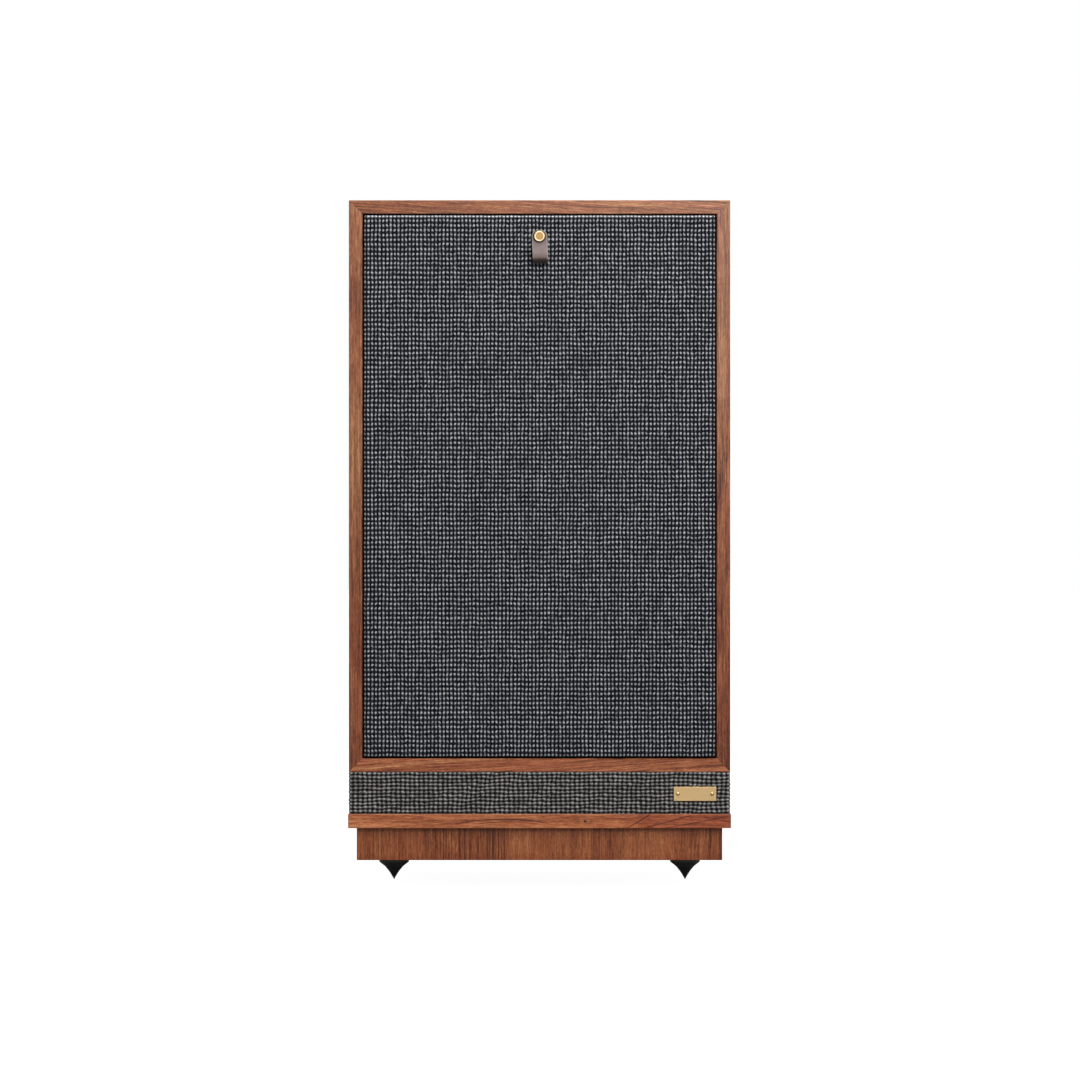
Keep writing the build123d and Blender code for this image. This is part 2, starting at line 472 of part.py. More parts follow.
for name, x in (("black", -POST_X), ("red", POST_X)):
    wash = turned_y([(4.08, 8.02), (7.8, 8.02), (7.8, 9.2), (4.08, 9.2)], x, POST_Z, Y_B)
    keep(name + "_post_washer", wash)
    kn = turned_y([(4.08, 9.22), (8.2, 9.22), (8.6, 9.7), (8.6, 21.4), (7.6, 23.2), (5.0, 23.2), (4.6, 22.6), (4.08, 22.6)], x, POST_Z, Y_B)
    for k in range(12):
        a = math.radians(30 * k)
        kn = kn - cyl_y(1.0, Y_B + 11.2, Y_B + 24, x + 9.1 * math.cos(a), POST_Z + 9.1 * math.sin(a))
    keep(name + "_post_knob", kn)

# ---------------------------------------------------------------- crossover and wiring
XZ0, XZ1 = 290.0, 418.0
BY = Y_RI - 4.0               # component side of the board
board = box(-92, 92, BY, Y_RI, XZ0, XZ1)
keep("crossover_board", board)


def coil_on_board(r, ri, h, x, z):
    return turned_y([(ri, 0), (r, 0), (r, -1.5), (r - 2, -1.5), (r - 2, -h + 1.5), (r, -h + 1.5), (r, -h), (ri, -h)], x, z, BY)


keep("crossover_inductors", group([coil_on_board(27, 10, 24, -58, 385), coil_on_board(22, 8, 20, 62, 390), coil_on_board(24, 9, 26, 58, 320)]))
caps = []
for z, r, x0, x1 in ((300.0, 9.5, -84, -38), (322.0, 9.5, -84, -38), (345.0, 10.0, -84, -40), (352.0, 8.0, 8, 46)):
    c = cyl_x(r, x0, x1, BY - r - 0.2, z)
    caps.append(fillet(c.edges().filter_by(GeomType.CIRCLE), 1.2))
keep("crossover_capacitors", group(caps))
res = [box(-26, 20, BY - 9.2, BY - 0.2, z - 4.5, z + 4.5) for z in (303.0, 318.0, 333.0)]
keep("crossover_resistors", group(res))


def wire(points, r):
    pts = [Vector(*p) for p in points]
    radii = []
    for i in range(1, len(pts) - 1):
        a, b = pts[i] - pts[i - 1], pts[i + 1] - pts[i]
        turn = math.radians(a.get_angle(b))
        short = min(a.length, b.length)
        radii.append(0.45 * short / math.tan(turn / 2))
    path = FilletPolyline(*pts, radius=radii)
    sec = Plane(origin=pts[0], z_dir=(pts[1] - pts[0])) * Circle(r)
    tube_ = sweep(sec, path=path)
    print("wire radii", [round(q, 1) for q in radii], "volume ratio", round(tube_.volume / (math.pi * r * r * path.length), 3))
    return tube_


wires = []
for x in post_x:
    k = 1 if x > 0 else -1
    # from the binding post's tail up to the crossover board's lower edge
    wires.append(wire([(x, Y_B - 14.0, POST_Z), (x, Y_B - 34, POST_Z + 1), (x * 0.92, Y_B - 50, POST_Z + 15), (x * 0.85, Y_B - 53, POST_Z + 37), (x * 0.75, Y_B - 44, POST_Z + 57), (x * 0.7, BY, POST_Z + 68)], 1.8))
    # from the crossover board up to the driver's basket
    xa, xb = k * 9 - 10, k * 10
    wires.append(wire([(xa, BY, 392), (xa, BY - 34, 394), (xa, BY - 63, 408), (xa, BY - 77, 436), (xa, BY - 93, 462), (xa * 0.8 + xb * 0.2, BY - 123, 474), (xa * 0.4 + xb * 0.6, BY - 159, 476), (xb, BY - 195, 472), (xb, S0 + 114, 474), (xb, S0 + 86, 486), (xb, S0 + 77.5, 514.4)], 1.8))
ends = [parts["crossover_board"], parts["driver_basket"]] + studs
for cut in ends:
    wires = [w - cut for w in wires]
keep("internal_wiring", group([max(w.solids(), key=lambda q: q.volume) for w in wires]))

# ---------------------------------------------------------------- export
for name, shape in parts.items():
    export_step(Pos(0, 0, -FLOOR) * shape, "parts/" + name + ".step")
print(len(parts), "nodes written")
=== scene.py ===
import math

import bmesh
import bpy
import numpy as np
from mathutils import Matrix, Vector, noise


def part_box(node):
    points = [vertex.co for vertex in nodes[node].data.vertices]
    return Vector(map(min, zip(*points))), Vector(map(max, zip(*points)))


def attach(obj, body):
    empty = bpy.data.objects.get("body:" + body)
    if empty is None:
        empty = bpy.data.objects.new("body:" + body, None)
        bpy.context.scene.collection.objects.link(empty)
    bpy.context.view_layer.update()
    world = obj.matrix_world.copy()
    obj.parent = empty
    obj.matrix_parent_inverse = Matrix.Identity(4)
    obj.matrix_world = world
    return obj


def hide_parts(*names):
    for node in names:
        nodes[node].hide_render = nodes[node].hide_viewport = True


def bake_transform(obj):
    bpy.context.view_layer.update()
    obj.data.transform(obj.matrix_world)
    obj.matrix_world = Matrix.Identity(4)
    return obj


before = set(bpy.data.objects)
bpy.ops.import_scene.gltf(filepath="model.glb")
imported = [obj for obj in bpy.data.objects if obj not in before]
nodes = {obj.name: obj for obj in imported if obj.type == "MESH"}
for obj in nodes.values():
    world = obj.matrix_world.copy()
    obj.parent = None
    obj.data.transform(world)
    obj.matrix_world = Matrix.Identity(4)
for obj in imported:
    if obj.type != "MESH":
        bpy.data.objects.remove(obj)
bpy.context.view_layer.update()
scene = bpy.context.scene
scene.view_settings.view_transform = "Standard"


# ---------------------------------------------------------------- node helpers
class Mat:
    """One material and short ways to add its nodes."""

    def __init__(self, name, **sockets):
        self.m = bpy.data.materials.new(name)
        self.m.use_nodes = True
        self.t = self.m.node_tree
        self.t.nodes.clear()
        out = self.t.nodes.new("ShaderNodeOutputMaterial")
        self.b = self.t.nodes.new("ShaderNodeBsdfPrincipled")
        self.t.links.new(self.b.outputs[0], out.inputs["Surface"])
        self.set(**sockets)
        self._co = None

    def set(self, **sockets):
        names = {
            "color": "Base Color", "rough": "Roughness", "metal": "Metallic", "spec": "Specular IOR Level",
            "coat": "Coat Weight", "coat_rough": "Coat Roughness", "sheen": "Sheen Weight", "sheen_rough": "Sheen Roughness",
            "sheen_tint": "Sheen Tint", "ior": "IOR", "aniso": "Anisotropic", "normal": "Normal", "trans": "Transmission Weight",
            "subsurface": "Subsurface Weight",
        }
        for k, v in sockets.items():
            s = self.b.inputs[names[k]]
            if isinstance(v, bpy.types.NodeSocket):
                self.t.links.new(v, s)
            elif hasattr(v, "__len__"):
                s.default_value = (*v, 1.0) if len(v) == 3 else v
            else:
                s.default_value = v
        return self

    def node(self, kind, **props):
        n = self.t.nodes.new(kind)
        for k, v in props.items():
            setattr(n, k, v)
        return n

    def put(self, socket, v):
        if isinstance(v, bpy.types.NodeSocket):
            self.t.links.new(v, socket)
        else:
            socket.default_value = v

    def math(self, op, a, b=None, c=None, clamp=False):
        n = self.node("ShaderNodeMath", operation=op, use_clamp=clamp)
        for i, v in enumerate((a, b, c)):
            if v is not None:
                self.put(n.inputs[i], v)
        return n.outputs[0]

    def co(self):
        if self._co is None:
            tc = self.node("ShaderNodeTexCoord")
            s = self.node("ShaderNodeSeparateXYZ")
            self.t.links.new(tc.outputs["Object"], s.inputs[0])
            self._co = (s.outputs[0], s.outputs[1], s.outputs[2], tc.outputs["Object"])
        return self._co

    def vec(self, x, y, z):
        n = self.node("ShaderNodeCombineXYZ")
        for i, v in enumerate((x, y, z)):
            self.put(n.inputs[i], v)
        return n.outputs[0]

    def noise(self, vector, scale, detail=2.0, rough=0.5, distort=0.0, dims="3D", w=None, color=False):
        n = self.node("ShaderNodeTexNoise", noise_dimensions=dims)
        if vector is not None and dims != "1D":
            self.t.links.new(vector, n.inputs["Vector"])
        if w is not None:
            self.put(n.inputs["W"], w)
        n.inputs["Scale"].default_value = scale
        n.inputs["Detail"].default_value = detail
        n.inputs["Roughness"].default_value = rough
        n.inputs["Distortion"].default_value = distort
        return n.outputs["Color" if color else "Fac"]

    def ramp(self, fac, stops, interp="LINEAR"):
        n = self.node("ShaderNodeValToRGB")
        n.color_ramp.interpolation = interp
        e = n.color_ramp.elements
        while len(e) < len(stops):
            e.new(0.5)
        for el, (p, c) in zip(e, stops):
            el.position = p
            el.color = (*c, 1.0) if hasattr(c, "__len__") else (c, c, c, 1.0)
        self.put(n.inputs[0], fac)
        return n.outputs[0]

    def span(self, v, a, b, c=0.0, d=1.0, smooth=False):
        n = self.node("ShaderNodeMapRange", interpolation_type="SMOOTHSTEP" if smooth else "LINEAR")
        self.put(n.inputs[0], v)
        for i, q in enumerate((a, b, c, d)):
            n.inputs[i + 1].default_value = q
        return n.outputs[0]

    def mix(self, fac, a, b, blend="MIX"):
        n = self.node("ShaderNodeMix", data_type="RGBA", blend_type=blend)
        self.put(n.inputs[0], fac)
        for s, v in ((n.inputs[6], a), (n.inputs[7], b)):
            if isinstance(v, bpy.types.NodeSocket):
                self.t.links.new(v, s)
            else:
                s.default_value = (*v, 1.0) if hasattr(v, "__len__") else (v, v, v, 1.0)
        return n.outputs[2]

    def bump(self, height, strength, distance, normal=None):
        n = self.node("ShaderNodeBump")
        n.inputs["Strength"].default_value = strength
        n.inputs["Distance"].default_value = distance
        self.t.links.new(height, n.inputs["Height"])
        if normal is not None:
            self.t.links.new(normal, n.inputs["Normal"])
        return n.outputs[0]

    def attr(self, name):
        n = self.node("ShaderNodeAttribute", attribute_name=name)
        return n


LIFT = 0.0058          # the grain's own heights are measured from this far above the floor


def walnut(name, grain, across, seed, v0=-0.06, u0=0.0, bow=0.0, core=0.03, ring=0.0042, tone=1.0, warm=1.0,
           streak=1.0, knot=None, contrast=1.0, waver=1.0, lines=0.0, shade=None, slant=0.0, arcs=(), groups=(), tan=0.5, red=0.55, tint=None, painted_shade=None):
    """Walnut cut from a board: growth rings as nested shells along the grain, fibre streaks and pores."""
    m = Mat(name)
    x, y, z, _ = m.co()
    z = m.math("SUBTRACT", z, LIFT)
    axes = {"x": x, "y": y, "z": z}
    other = [a for a in "xyz" if a not in (grain, across)][0]
    u, v, w = axes[grain], axes[across], axes[other]
    us = m.math("ADD", u, seed * 1.37)
    low = m.noise(m.vec(m.math("MULTIPLY", us, 1.6), m.math("MULTIPLY", v, 7.0), m.math("MULTIPLY", w, 7.0)), 1.0, 2.0)
    low2 = m.noise(m.vec(m.math("MULTIPLY", us, 9.0), m.math("MULTIPLY", v, 24.0), m.math("MULTIPLY", w, 24.0)), 1.0, 2.0)
    wob = m.math("ADD", m.math("MULTIPLY", m.math("SUBTRACT", low, 0.5), 0.030 * waver), m.math("MULTIPLY", m.math("SUBTRACT", low2, 0.5), 0.0042 * waver))
    dv = m.math("ADD", m.math("SUBTRACT", v, v0), wob)
    if slant:
        dv = m.math("SUBTRACT", dv, m.math("MULTIPLY", u, slant))
    du = m.math("SUBTRACT", u, u0)
    shell = m.math("ADD", core, m.math("MULTIPLY", m.math("MULTIPLY", du, du), bow))
    shell = m.math("ADD", shell, m.math("MULTIPLY", w, 0.35))
    r = m.math("SQRT", m.math("ADD", m.math("MULTIPLY", dv, dv), m.math("MULTIPLY", shell, shell)))
    if knot:
        ku, kv, kr = knot
        d2 = m.math("ADD", m.math("POWER", m.math("DIVIDE", m.math("SUBTRACT", u, ku), 2.6 * kr), 2.0), m.math("POWER", m.math("DIVIDE", m.math("SUBTRACT", v, kv), kr), 2.0))
        pull = m.math("DIVIDE", 0.010, m.math("ADD", 1.0, d2))
        r = m.math("ADD", r, pull)
    stray = m.noise(m.vec(m.math("MULTIPLY", us, 13.0), m.math("MULTIPLY", v, 60.0), m.math("MULTIPLY", w, 60.0)), 1.0, 2.0, 0.5)
    phase = m.math("ADD", m.math("DIVIDE", r, ring), m.math("MULTIPLY", stray, 0.7 * waver))
    bands = m.noise(None, 1.0, 2.0, 0.55, dims="1D", w=m.math("ADD", phase, seed * 7.1))
    saw = m.math("FRACT", m.math("MULTIPLY", m.math("ADD", phase, m.math("MULTIPLY", bands, 1.4)), 0.5))
    late = m.math("MULTIPLY", m.math("POWER", saw, 3.0), m.span(saw, 0.84, 1.0, 1.0, 0.15, smooth=True))
    fine = m.noise(m.vec(m.math("MULTIPLY", us, 5.0), m.math("MULTIPLY", dv, 330.0), m.math("MULTIPLY", w, 330.0)), 1.0, 4.0, 0.62)
    finer = m.noise(m.vec(m.math("MULTIPLY", us, 26.0), m.math("MULTIPLY", dv, 1500.0), m.math("MULTIPLY", w, 1500.0)), 1.0, 2.0, 0.6)
    broad = m.noise(m.vec(m.math("MULTIPLY", us, 2.2), m.math("MULTIPLY", dv, 34.0), m.math("MULTIPLY", w, 34.0)), 1.0, 2.0, 0.5)
    line = m.noise(m.vec(m.math("MULTIPLY", us, 7.0), m.math("MULTIPLY", dv, 700.0), m.math("MULTIPLY", w, 700.0)), 1.0, 2.0, 0.6)
    f = m.math("ADD", m.math("MULTIPLY", bands, 0.40 * contrast), m.math("MULTIPLY", fine, 0.42 * streak))
    f = m.math("ADD", f, m.math("MULTIPLY", broad, 0.30))
    f = m.math("ADD", f, m.math("MULTIPLY", line, 0.60 * streak))
    dash = m.noise(m.vec(m.math("MULTIPLY", us, 48.0), m.math("MULTIPLY", dv, 640.0), m.math("MULTIPLY", w, 640.0)), 1.0, 2.0, 0.6)
    speck = m.noise(m.vec(m.math("MULTIPLY", us, 190.0), m.math("MULTIPLY", dv, 620.0), m.math("MULTIPLY", w, 620.0)), 1.0, 2.0, 0.6)
    f = m.math("ADD", f, m.math("MULTIPLY", m.math("SUBTRACT", dash, 0.5), 0.46))
    f = m.math("ADD", f, m.math("MULTIPLY", m.math("SUBTRACT", speck, 0.5), 0.34))
    f = m.math("ADD", f, m.math("MULTIPLY", finer, 0.14))
    f = m.math("SUBTRACT", f, m.math("MULTIPLY", late, 0.16 * contrast))
    mid = 0.20 * contrast + 0.51 * streak + 0.15 + 0.07 - 0.04 * contrast
    f = m.math("ADD", m.math("MULTIPLY", m.math("SUBTRACT", f, mid), 1.65), 0.5)
    if lines:
        # bunches of narrow dark lines
        bunch = m.span(m.noise(None, 1.0, 1.0, 0.5, dims="1D", w=m.math("ADD", m.math("MULTIPLY", dv, 19.0), seed * 3.3)), 0.44, 0.60, 0.12, 1.0, smooth=True)
        for k, (a, b, amount) in enumerate(groups):
            one = m.math("MULTIPLY", m.span(v, a - 0.006, a + 0.006, 0.0, amount, smooth=True), m.span(v, b - 0.006, b + 0.006, 1.0, 0.0, smooth=True))
            bunch = one if k == 0 else m.math("MAXIMUM", bunch, one)
        thin = m.noise(m.vec(m.math("MULTIPLY", us, 3.0), m.math("MULTIPLY", dv, 560.0), m.math("MULTIPLY", w, 40.0)), 1.0, 1.0, 0.5)
        thin = m.span(thin, 0.50, 0.66, 0.0, 1.0, smooth=True)
        f = m.math("SUBTRACT", f, m.math("MULTIPLY", m.math("MULTIPLY", thin, bunch), 0.30 * lines))
    for ua, va, rise, k, half, thick, amount in arcs:
        # one drawn ring line: a shallow arch or a slanting line across the board
        e = m.math("SUBTRACT", u, ua)
        curve = m.math("ADD", va, m.math("SUBTRACT", m.math("MULTIPLY", e, rise), m.math("MULTIPLY", m.math("MULTIPLY", e, e), k)))
        off = m.math("SUBTRACT", m.math("ADD", v, m.math("MULTIPLY", m.math("SUBTRACT", low2, 0.5), 0.004)), curve)
        near = m.math("MAXIMUM", m.span(off, -thick, 0.0, 0.0, 1.0, smooth=True), 0.0)
        near = m.math("MULTIPLY", near, m.span(off, 0.0, thick * 0.45, 1.0, 0.0, smooth=True))
        near = m.math("MULTIPLY", near, m.span(m.math("ABSOLUTE", e), half * 0.75, half, 1.0, 0.0, smooth=True))
        f = m.math("SUBTRACT", f, m.math("MULTIPLY", near, amount))
    t = tone
    c = m.ramp(f, [
        (0.14, (0.060 * t, 0.0120 * t, 0.0045 * t / warm)),
        (0.34, (0.148 * t, 0.0375 * t, 0.0135 * t / warm)),
        (0.50, (0.222 * t, 0.0640 * t, 0.0240 * t / warm)),
        (0.66, (0.300 * t, 0.1020 * t, 0.0430 * t / warm)),
        (0.86, (0.430 * t, 0.1650 * t, 0.0780 * t / warm)),
    ])
    # patches that lean to red and patches that lean to tan
    hue = m.noise(m.vec(m.math("MULTIPLY", us, 3.5), m.math("MULTIPLY", dv, 160.0), m.math("MULTIPLY", w, 160.0)), 1.0, 2.0, 0.5)
    c = m.mix(m.span(hue, 0.40, 0.68, 0.0, red), c, m.mix(1.0, c, (1.06, 0.82, 0.80), "MULTIPLY"))
    c = m.mix(m.span(hue, 0.52, 0.28, 0.0, tan), c, m.mix(1.0, c, (0.93, 1.13, 1.04), "MULTIPLY"))
    if tint:
        c = m.mix(1.0, c, tint, "MULTIPLY")
    # painted shade: the colour is darkened over a span along the grain, darker towards the bottom of the board,
    # standing in for less light falling low down
    if painted_shade:
        c = m.mix(m.span(u, painted_shade[0], painted_shade[1], 0.0, 1.0, smooth=True), c, m.mix(1.0, c, painted_shade[2], "MULTIPLY"))
    if shade:
        c = m.mix(m.span(u, shade[0], shade[1], 0.0, 1.0, smooth=True), c, m.mix(1.0, c, shade[2], "MULTIPLY"))
    pore_n = m.noise(m.vec(m.math("MULTIPLY", us, 75.0), m.math("MULTIPLY", dv, 1900.0), m.math("MULTIPLY", w, 1900.0)), 1.0, 1.0, 0.5)
    pore = m.span(pore_n, 0.63, 0.72, 0.0, 1.0, smooth=True)
    c = m.mix(m.math("MULTIPLY", pore, 0.55), c, (0.045 * t, 0.016 * t, 0.008 * t))
    if knot:
        e2 = m.math("ADD", m.math("POWER", m.math("DIVIDE", m.math("SUBTRACT", u, ku), 1.25 * kr), 2.0), m.math("POWER", m.math("DIVIDE", m.math("SUBTRACT", v, kv), kr), 2.0))
        eye = m.span(m.math("SQRT", e2), 0.55, 1.15, 1.0, 0.0, smooth=True)
        c = m.mix(m.math("MULTIPLY", eye, 0.94), c, (0.016, 0.005, 0.003))
    h = m.math("SUBTRACT", m.math("MULTIPLY", fine, 0.5), pore)
    m.set(color=c, rough=m.span(fine, 0.3, 0.7, 0.38, 0.30), spec=0.46, normal=m.bump(h, 0.35, 0.00022), coat=0.06)
    m.b.inputs["Coat Roughness"].default_value = 0.22
    return m.m


def painted_board(name, color=(0.016, 0.016, 0.017), rough=0.62):
    """Black stained or painted board with a faint fibre texture."""
    m = Mat(name)
    _, _, _, co = m.co()
    n1 = m.noise(co, 420.0, 4.0, 0.65)
    n2 = m.noise(co, 14.0, 3.0)
    c = m.mix(m.span(n2, 0.3, 0.7), tuple(v * 0.8 for v in color), tuple(v * 1.35 for v in color))
    m.set(color=c, rough=m.span(n1, 0.3, 0.7, rough - 0.07, rough + 0.08), spec=0.4, normal=m.bump(n1, 0.25, 0.0002))
    return m.m


def bare_board(name):
    """Pale fibreboard: speckled fibres."""
    m = Mat(name)
    _, _, _, co = m.co()
    n1 = m.noise(co, 700.0, 5.0, 0.7)
    n2 = m.noise(co, 30.0, 3.0)
    c = m.ramp(m.math("ADD", m.math("MULTIPLY", n1, 0.6), m.math("MULTIPLY", n2, 0.4)), [(0.3, (0.22, 0.135, 0.068)), (0.55, (0.36, 0.24, 0.135)), (0.8, (0.50, 0.36, 0.22))])
    m.set(color=c, rough=0.8, spec=0.3, normal=m.bump(n1, 0.4, 0.0003))
    return m.m


def metal(name, color, rough=0.32, brushed=None, sandy=0.0, spread=0.12, dark=0.75):
    """Metal with fine brushed lines along one axis, or a sand-blasted face."""
    m = Mat(name, metal=1.0)
    x, y, z, co = m.co()
    cloud = m.noise(co, 60.0, 3.0, 0.55)
    if brushed:
        k = {"x": (14.0, 2600.0, 2600.0), "y": (2600.0, 14.0, 2600.0), "z": (2600.0, 2600.0, 14.0)}[brushed]
        line = m.noise(m.vec(m.math("MULTIPLY", x, k[0]), m.math("MULTIPLY", y, k[1]), m.math("MULTIPLY", z, k[2])), 1.0, 3.0, 0.6)
    else:
        line = m.noise(co, 3200.0, 2.0, 0.6)
    c = m.mix(m.math("ADD", m.math("MULTIPLY", line, 0.6), m.math("MULTIPLY", cloud, 0.4)), tuple(v * dark for v in color), color)
    h = line
    nrm = m.bump(h, 0.18 if not sandy else 0.5 * sandy, 0.00006)
    if sandy:
        grit = m.noise(co, 1500.0, 3.0, 0.7)
        nrm = m.bump(grit, 0.55 * sandy, 0.00012, nrm)
    m.set(color=c, rough=m.span(line, 0.25, 0.75, rough - spread / 2, rough + spread / 2), normal=nrm)
    return m.m


def moulded(name, color, rough=0.42, grain=0.25, coat=0.0, scale=1400.0):
    """Moulded plastic or powder coat: an even colour with a fine surface grain."""
    m = Mat(name)
    _, _, _, co = m.co()
    n1 = m.noise(co, scale, 3.0, 0.6)
    n2 = m.noise(co, 40.0, 2.0)
    c = m.mix(m.span(n2, 0.3, 0.7), tuple(v * 0.86 for v in color), tuple(min(1.0, v * 1.14) for v in color))
    m.set(color=c, rough=m.span(n1, 0.3, 0.7, rough - 0.05, rough + 0.05), spec=0.5, normal=m.bump(n1, grain, 0.00008), coat=coat)
    return m.m


def weave(name, light, dark, glow, flip=False):
    """Thick slubby yarn: light crossings over dark gaps, each with its own tint and twist.
    The attribute 'weave' counts cells across and up the cloth, with the yarns' own wander in it."""
    m = Mat(name)
    a = m.attr("weave").outputs["Vector"]
    s = m.node("ShaderNodeSeparateXYZ")
    m.t.links.new(a, s.inputs[0])
    u, v = s.outputs[0], s.outputs[1]
    fu, fv = m.math("FRACT", u), m.math("FRACT", v)
    cu, cv = m.math("FLOOR", u), m.math("FLOOR", v)
    du = m.math("ABSOLUTE", m.math("SUBTRACT", fu, 0.5))
    dv = m.math("ABSOLUTE", m.math("SUBTRACT", fv, 0.5))
    cell = m.node("ShaderNodeTexWhiteNoise", noise_dimensions="2D")
    m.t.links.new(m.vec(cu, cv, 0.0), cell.inputs["Vector"])
    cs = m.node("ShaderNodeSeparateColor")
    m.t.links.new(cell.outputs["Color"], cs.inputs[0])
    lean = m.math("MULTIPLY", m.math("SUBTRACT", cs.outputs[1], 0.5), 0.6 if flip else 0.9)
    su, sv = m.math("SUBTRACT", fu, 0.5), m.math("SUBTRACT", fv, 0.5)
    if flip:
        q_u = m.math("ABSOLUTE", su)
        q_v = m.math("ABSOLUTE", m.math("ADD", sv, m.math("MULTIPLY", su, lean)))
        ru, rv = 0.36, 0.27
    else:
        q_u = m.math("ABSOLUTE", m.math("ADD", su, m.math("MULTIPLY", sv, lean)))
        q_v = m.math("ABSOLUTE", sv)
        ru, rv = 0.29, 0.27
    fuzz = m.noise(m.vec(u, v, 3.0), 5.5, 3.0, 0.6)
    r = m.math("SQRT", m.math("ADD", m.math("POWER", m.math("DIVIDE", q_u, ru), 2.0), m.math("POWER", m.math("DIVIDE", q_v, rv), 2.0)))
    r = m.math("ADD", r, m.math("MULTIPLY", m.math("SUBTRACT", fuzz, 0.5), 0.75))
    nub = m.span(r, 1.30, 0.50, 0.0, 1.0, smooth=True)
    # the same yarn runs on under the crossing, darker
    along, side = (du, dv) if flip else (dv, du)
    run = m.span(side, 0.32, 0.10, 0.0, 1.0, smooth=True)
    yarn = m.noise(m.vec(m.math("MULTIPLY", u, 0.35 if flip else 1.0), m.math("MULTIPLY", v, 1.0 if flip else 0.35), 9.0), 1.0, 2.0)
    cross = m.math("MULTIPLY", m.span(along, 0.34, 0.12, 0.0, 1.0, smooth=True), 0.17 if flip else 0.0)
    run = m.math("MULTIPLY", run, m.span(yarn, 0.40, 0.68, 0.10 if flip else 0.02, 0.50 if flip else 0.24))
    twist = m.node("ShaderNodeTexWave", wave_type="BANDS", bands_direction="DIAGONAL")
    m.t.links.new(m.vec(u, v, 0.0), twist.inputs["Vector"])
    twist.inputs["Scale"].default_value = 1.35
    twist.inputs["Distortion"].default_value = 2.5
    twist.inputs["Detail"].default_value = 2.0
    twist.inputs["Detail Scale"].default_value = 2.0
    fibre = m.noise(m.vec(m.math("MULTIPLY", u, 3.0), m.math("MULTIPLY", v, 3.0), 1.0), 5.0, 3.0, 0.7)
    own = m.span(cs.outputs[0], 0.0, 1.0, 0.54 if flip else 0.62, 1.04 if flip else 1.18)
    big = m.span(m.noise(m.vec(u, v, 5.0), 0.16, 3.0, 0.6), 0.3, 0.7, 0.86, 1.14)
    lit = m.math("MULTIPLY", m.math("MAXIMUM", m.math("MAXIMUM", nub, run), cross), m.math("MULTIPLY", own, big))
    # painted highlight: the 'fold' attribute marks where the cloth turns over the frame's top edge; there the yarn
    # covers more and is lightened, standing in for light from above
    fold = m.attr("fold").outputs["Fac"]
    top_highlight_lump = m.span(m.noise(m.vec(u, 0.0, 2.0), 1.0, 1.0), 0.3, 0.7, 0.55, 1.25)
    lit = m.math("ADD", lit, m.math("MULTIPLY", m.math("MULTIPLY", fold, top_highlight_lump), m.span(du, 0.46, 0.20, 0.25, 1.0)))
    lit = m.math("MULTIPLY", lit, m.span(m.math("ADD", m.math("MULTIPLY", twist.outputs["Fac"], 0.5), m.math("MULTIPLY", fibre, 0.5)), 0.25, 0.75, 0.78, 1.16))
    tint = m.mix(cs.outputs[2], tuple(c * f for c, f in zip(light, (0.97, 0.99, 1.03))), tuple(c * f for c, f in zip(light, (1.03, 1.01, 0.975))))
    gap = m.mix(fuzz, tuple(c * 0.5 for c in dark), tuple(c * 1.6 for c in dark))
    c = m.mix(m.math("MINIMUM", lit, 1.0), gap, tint)
    # painted highlight: colour lifted up to 1.45 times along the top edge's turn
    c = m.mix(m.math("MULTIPLY", fold, 0.9), c, m.mix(1.0, c, (1.45, 1.45, 1.45), "MULTIPLY"))
    h = m.math("ADD", m.math("MULTIPLY", nub, 1.0), m.math("MULTIPLY", m.math("ADD", twist.outputs["Fac"], fibre), 0.10))
    m.set(color=c, rough=0.88, spec=0.12, normal=m.bump(h, 0.75, 0.0007), sheen=glow, sheen_rough=0.45)
    return m.m


# ---------------------------------------------------------------- mesh helpers
def mesh_object(name, verts, faces, smooth=True, angle=None):
    me = bpy.data.meshes.new(name)
    me.from_pydata([tuple(map(float, v)) for v in verts], [], [tuple(f) for f in faces])
    me.validate()
    me.update()
    ob = bpy.data.objects.new(name, me)
    scene.collection.objects.link(ob)
    if smooth:
        me.polygons.foreach_set("use_smooth", [True] * len(me.polygons))
        if angle is not None:
            me.set_sharp_from_angle(angle=math.radians(angle))
    return ob


def paint(ob, material):
    ob.data.materials.clear()
    ob.data.materials.append(material)


def paint_cad(names, material):
    for n in names:
        o = nodes[n]
        if not o.data.materials:
            o.data.materials.append(material)
        for i in range(len(o.data.materials)):
            o.data.materials[i] = material
        for s in o.material_slots:
            s.material = material


def wander(u, v, seed, amount):
    """How far the yarns drift at a cell, in cells."""
    p = Vector((u * 0.31 + seed, v * 0.31, seed * 2.0))
    q = Vector((u * 0.9 + 40.0, v * 0.9 + seed, 7.0))
    a = noise.noise(p) * amount + noise.noise(q) * amount * 0.45
    b = noise.noise(p + Vector((9.1, 3.3, 1.7))) * amount + noise.noise(q + Vector((2.2, 8.8, 4.1))) * amount * 0.45
    return a, b


def nub_height(u, v):
    """0 in the gaps between yarns, 1 on the crossing's crown."""
    fu, fv = u - math.floor(u) - 0.5, v - math.floor(v) - 0.5
    a = max(0.0, math.cos(math.pi * fu)) ** 0.8
    b = max(0.0, math.cos(math.pi * fv)) ** 0.8
    return a * b


def cell_lift(cu, cv, seed):
    h = math.sin(cu * 12.9898 + cv * 78.233 + seed) * 43758.5453
    return h - math.floor(h)


def rounded(s, half, r):
    """Walks a rounded edge: distance from the middle of a sheet that is bent back round both edges.
    Returns position across, depth behind the face, and the angle turned."""
    k = 1.0 if s >= 0 else -1.0
    s = abs(s)
    flat = half - r
    if s <= flat:
        return k * s, 0.0, 0.0
    arc = r * math.pi / 2
    if s <= flat + arc:
        th = (s - flat) / r
        return k * (flat + r * math.sin(th)), r - r * math.cos(th), k * th
    return k * half, r + (s - flat - arc), k * math.pi / 2


